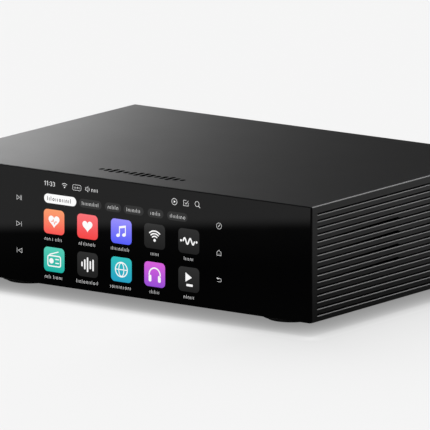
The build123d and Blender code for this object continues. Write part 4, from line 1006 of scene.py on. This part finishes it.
def floor_material():
    """Pale sweep with a painted shadow: its glow dims close to and under the case."""
    graph = Graph(bpy.data.materials.new("floor_pale"))
    calc = graph.math
    x, y, _ = graph.xyz(graph.node("NewGeometry").outputs["Position"])

    # distance outwards from the case's outline, along each axis and overall
    out_x = calc("SUBTRACT", calc("ABSOLUTE", x), HALF_WIDTH)
    out_y = calc("SUBTRACT", calc("ABSOLUTE", calc("SUBTRACT", y, CASE_CENTRE.y)), HALF_DEPTH)
    beyond_x, beyond_y = calc("MAXIMUM", out_x, 0.0), calc("MAXIMUM", out_y, 0.0)
    outside = calc("SQRT", calc("ADD", calc("MULTIPLY", beyond_x, beyond_x),
                                calc("MULTIPLY", beyond_y, beyond_y)))
    inside = calc("MINIMUM", calc("MAXIMUM", out_x, out_y), 0.0)
    distance = calc("ADD", outside, inside)

    # painted shadow of the case: a falloff ramp along each axis, the two multiplied
    stops = [((at + FLOOR_SHADOW_START) / FLOOR_SHADOW_SPAN, share) for at, share in FLOOR_SHADOW_STOPS]
    cover = []
    for out in (out_x, out_y):
        along = calc("DIVIDE", calc("ADD", out, 0.040), 0.060, clamp=True)
        cover.append(graph.ramp(along, stops))
    under = calc("MULTIPLY", *cover)
    near = calc("SUBTRACT", FLOOR_GLOW, calc("MULTIPLY", under, FLOOR_GLOW - UNDER_GLOW))

    # a fainter, wider shade on the right
    fade = calc("POWER", 2.71828,
                calc("MULTIPLY", calc("MAXIMUM", distance, 0.0), -1.0 / SHADE_FALL))
    ease_in = calc("DIVIDE", calc("SUBTRACT", distance, 0.001), 0.010, clamp=True)
    right = calc("DIVIDE", calc("SUBTRACT", x, 0.045), 0.075, clamp=True)
    shade = calc("MULTIPLY", calc("MULTIPLY", fade, right),
                 calc("MULTIPLY", ease_in, SHADE_DEPTH))

    glowing = graph.node("Emission", {"Color": calc("SUBTRACT", near, shade)})
    diffuse = graph.node("BsdfDiffuse", {"Color": (FLOOR_ALBEDO,) * 3})
    seen = graph.node("AddShader", {0: diffuse.outputs[0], 1: glowing.outputs[0]})
    dim = graph.node("Emission", {"Color": (1, 1, 1), "Strength": FLOOR_GLOW_REFLECTED})
    is_camera = graph.node("LightPath").outputs["Is Camera Ray"]
    mix = graph.node("MixShader", {0: is_camera, 1: dim.outputs[0], 2: seen.outputs[0]})
    graph.node("OutputMaterial", {0: mix.outputs[0]})
    return graph.owner


floor = quad("floor", level_square(30, 0), floor_material())
floor.visible_glossy = False


# ----------------------------------------------------------------------------
# Cards, seen only in reflections
# ----------------------------------------------------------------------------
def card_material(name, start, direction, span, stops, strength):
    """Glow that follows the stops over a span in metres from start along direction."""
    graph = Graph(bpy.data.materials.new(name))
    along = graph.dot(graph.offset_from(start), direction)
    share = graph.map_range(along, 0.0, 1.0, 0.0, span)
    emission = graph.node("Emission", {"Color": graph.ramp(share, stops, "EASE"),
                                       "Strength": strength})
    graph.node("OutputMaterial", {0: emission.outputs[0]})
    return graph.owner


def card(name, points, material):
    ob = quad(name, points, material)
    ob.visible_camera = False
    ob.visible_diffuse = False
    ob.visible_transmission = False
    ob.visible_shadow = False
    ob.visible_volume_scatter = False


# Just below the floor, which reflections don't see: dark close to the case's front and
# paler further out, so the lower glass stays black and the upper part turns soft grey
FLOOR_CARD_ANGLE = math.radians(41.0)
FRONT_LEFT = Vector((-math.sin(FLOOR_CARD_ANGLE), -math.cos(FLOOR_CARD_ANGLE), 0.0))
FLOOR_CARD_REACH = 1.0      # metres either way from the case's centre
FLOOR_CARD_STOPS = (        # metres to the front left of the case's centre, brightness
    (-1.0, 0.55), (-0.50, 0.50), (-0.10, 0.02), (0.20, 0.010), (0.335, 0.03), (0.377, 0.42),
    (0.60, 0.42), (1.0, 0.42),
)
card("floor_reflection", level_square(4, -0.0005), card_material(
    "floor_reflection", start=CASE_CENTRE - FRONT_LEFT * FLOOR_CARD_REACH,
    direction=FRONT_LEFT, span=2 * FLOOR_CARD_REACH, strength=1.0,
    stops=[((at + FLOOR_CARD_REACH) / (2 * FLOOR_CARD_REACH), value)
           for at, value in FLOOR_CARD_STOPS]))

# Upright card at the back left: a sheen over the lid that falls off upwards and rightwards
SHEEN_AZIMUTH = math.radians(35.93)
SHEEN_RIGHT = Vector((math.cos(SHEEN_AZIMUTH), math.sin(SHEEN_AZIMUTH), 0.0))
SHEEN_BACK = Vector((-math.sin(SHEEN_AZIMUTH), math.cos(SHEEN_AZIMUTH), 0.0))
SHEEN_DISTANCE = 0.45
SHEEN_LEFT_END, SHEEN_RIGHT_END = -0.75, 0.55
SHEEN_BOTTOM, SHEEN_TOP = 0.07, 0.36
SHEEN_STRENGTH, SHEEN_MAX = 0.295, 2.6
SHEEN_FALL, SHEEN_RISE = 0.070, 0.085   # metres to fade by e, rightwards and upwards
SHEEN_HEIGHT = 0.09                     # height above the lid where the vertical factor is 1


def sheen_material():
    graph = Graph(bpy.data.materials.new("card_sheen"))
    offset = graph.offset_from(LID_CENTRE)
    rightwards = graph.math("MULTIPLY", graph.dot(offset, SHEEN_RIGHT), -1.0 / SHEEN_FALL)
    upwards = graph.math("MULTIPLY_ADD", graph.dot(offset, UP), -1.0 / SHEEN_RISE,
                         SHEEN_HEIGHT / SHEEN_RISE)
    fade = graph.math("EXPONENT", graph.math("ADD", rightwards, upwards))
    strength = graph.math("MINIMUM", graph.math("MULTIPLY", fade, SHEEN_STRENGTH), SHEEN_MAX)
    emission = graph.node("Emission", {"Strength": strength})
    graph.node("OutputMaterial", {0: emission.outputs[0]})
    return graph.owner


sheen_middle = LID_CENTRE + SHEEN_BACK * SHEEN_DISTANCE
card("card_sheen",
     [sheen_middle + SHEEN_RIGHT * along + UP * (z - CASE_TOP) for along, z in (
         (SHEEN_LEFT_END, SHEEN_BOTTOM), (SHEEN_RIGHT_END, SHEEN_BOTTOM),
         (SHEEN_RIGHT_END, SHEEN_TOP), (SHEEN_LEFT_END, SHEEN_TOP))],
     sheen_material())


def soft_card(name, centre, width, height, strength, stops):
    """Card that faces the case, its brightness following the stops across its width."""
    normal = (TARGET - centre).normalized()
    across = UP.cross(normal).normalized()
    upward = normal.cross(across).normalized()
    points = [centre + across * side * width / 2 + upward * end * height / 2
              for side, end in ((-1, -1), (1, -1), (1, 1), (-1, 1))]
    card(name, points, card_material(name, centre - across * width / 2, across, width, stops,
                                     strength))


# High at the back: catches the cut lips of the grooves and the lid's chamfer
soft_card("card_rim", Vector((0.25, 1.0, 0.75)), width=1.2, height=0.34, strength=3.0,
          stops=((0.0, 0.0), (0.2, 1.0), (0.8, 1.0), (1.0, 0.0)))
# Front right: gives the lid a sheen when it's seen from behind
soft_card("card_front_right", Vector((0.75, -0.75, 0.34)), width=1.0, height=0.4, strength=0.9,
          stops=((0.0, 0.0), (0.3, 1.0), (0.7, 1.0), (1.0, 0.0)))


# ----------------------------------------------------------------------------
# World and lights
# ----------------------------------------------------------------------------
def build_world():
    """Separate backgrounds for the camera, for reflections and for diffuse light."""
    world = bpy.data.worlds.new("studio")
    bpy.context.scene.world = world
    graph = Graph(world)

    def background(color):
        return graph.node("Background", {0: color, 1: 1.0}).outputs[0]

    height = graph.xyz(graph.node("TexCoord").outputs["Generated"])[2]
    reflected = background(graph.ramp(height, [(0.0, (0.0168, 0.0168, 0.0172)),
                                               (1.0, (0.056, 0.056, 0.058))]))
    rays = graph.node("LightPath").outputs
    lighting = graph.node("MixShader", {
        0: rays["Is Glossy Ray"], 1: background((1, 1, 1)), 2: reflected}).outputs[0]
    seen = graph.node("MixShader", {
        0: rays["Is Camera Ray"], 1: lighting, 2: background(srgb(243))}).outputs[0]
    graph.node("OutputWorld", {0: seen})


def add_light(data, receivers):
    """Place a light that reaches the receivers only."""
    ob = bpy.data.objects.new(data.name, data)
    bpy.context.scene.collection.objects.link(ob)
    group = bpy.data.collections.new("lit_by_" + data.name)
    for receiver in receivers:
        group.objects.link(receiver)
    ob.light_linking.receiver_collection = group
    return ob


def area_light(name, location, width, height, power, receivers):
    """Rectangular light aimed at the case; receivers are names of the frame's pieces."""
    data = bpy.data.lights.new(name, "AREA")
    data.shape = "RECTANGLE"
    data.size = width
    data.size_y = height
    data.energy = power
    ob = add_light(data, [NODES[node] for node in receivers])
    ob.location = location
    ob.rotation_euler = (TARGET - Vector(location)).to_track_quat("-Z", "Y").to_euler()
    ob.visible_camera = False


build_world()

sun = bpy.data.lights.new("overhead", "SUN")
sun.angle = math.radians(24.0)
sun.energy = SUN_SHARE * math.pi / FLOOR_ALBEDO
add_light(sun, [floor])

REAR_PARTS = (
    "rear_panel", "mains_inlet", "fuse_drawer", "power_rocker", "mains_pins", "hdmi_socket",
    "usb_a_socket", "lan_socket", "usb_b_socket", "rca_shells", "antenna_sockets",
    "antenna_nuts", "xlr_pins", "rca_inserts", "xlr_sockets", "optical_sockets",
    "optical_flap_in", "optical_flap_out", "trigger_jack", *ANTENNA_PARTS, "rear_screws",
    "fuse",
)
area_light("rear_key", (-0.45, 1.0, 0.75), width=0.9, height=0.5, power=13.0,
           receivers=REAR_PARTS)
area_light("rear_fill", (0.55, 1.25, 0.30), width=1.5, height=0.6, power=9.0,
           receivers=REAR_PARTS)
area_light("left_key", (-1.5, 0.35, 0.075), width=0.9, height=0.12, power=5.0,
           receivers=("top_cover", "feet", "foot_pads", "bottom_plate"))

# ----------------------------------------------------------------------------
# Camera: a long lens at the front right, a little above the case
# ----------------------------------------------------------------------------
CAMERA_AZIMUTH = math.radians(35.93482925868904)
CAMERA_ELEVATION = math.radians(11.23950249212659)
CAMERA_DISTANCE = 6.0913

camera_data = bpy.data.cameras.new("camera")
camera_data.lens = 788.06
camera_data.sensor_width = 36.0
camera_data.shift_x = -0.0116385294
camera_data.shift_y = -0.0092934805
camera_data.clip_start = 0.1
camera_data.clip_end = 100.0
camera = bpy.data.objects.new("camera", camera_data)
bpy.context.scene.collection.objects.link(camera)
to_camera = Vector((math.sin(CAMERA_AZIMUTH) * math.cos(CAMERA_ELEVATION),
                    -math.cos(CAMERA_AZIMUTH) * math.cos(CAMERA_ELEVATION),
                    math.sin(CAMERA_ELEVATION)))
camera.location = CASE_CENTRE + to_camera * CAMERA_DISTANCE
camera.rotation_euler = (-to_camera).to_track_quat("-Z", "Y").to_euler()
bpy.context.scene.camera = camera

bpy.context.scene.view_settings.view_transform = "Standard"
bpy.context.scene.view_settings.look = "None"
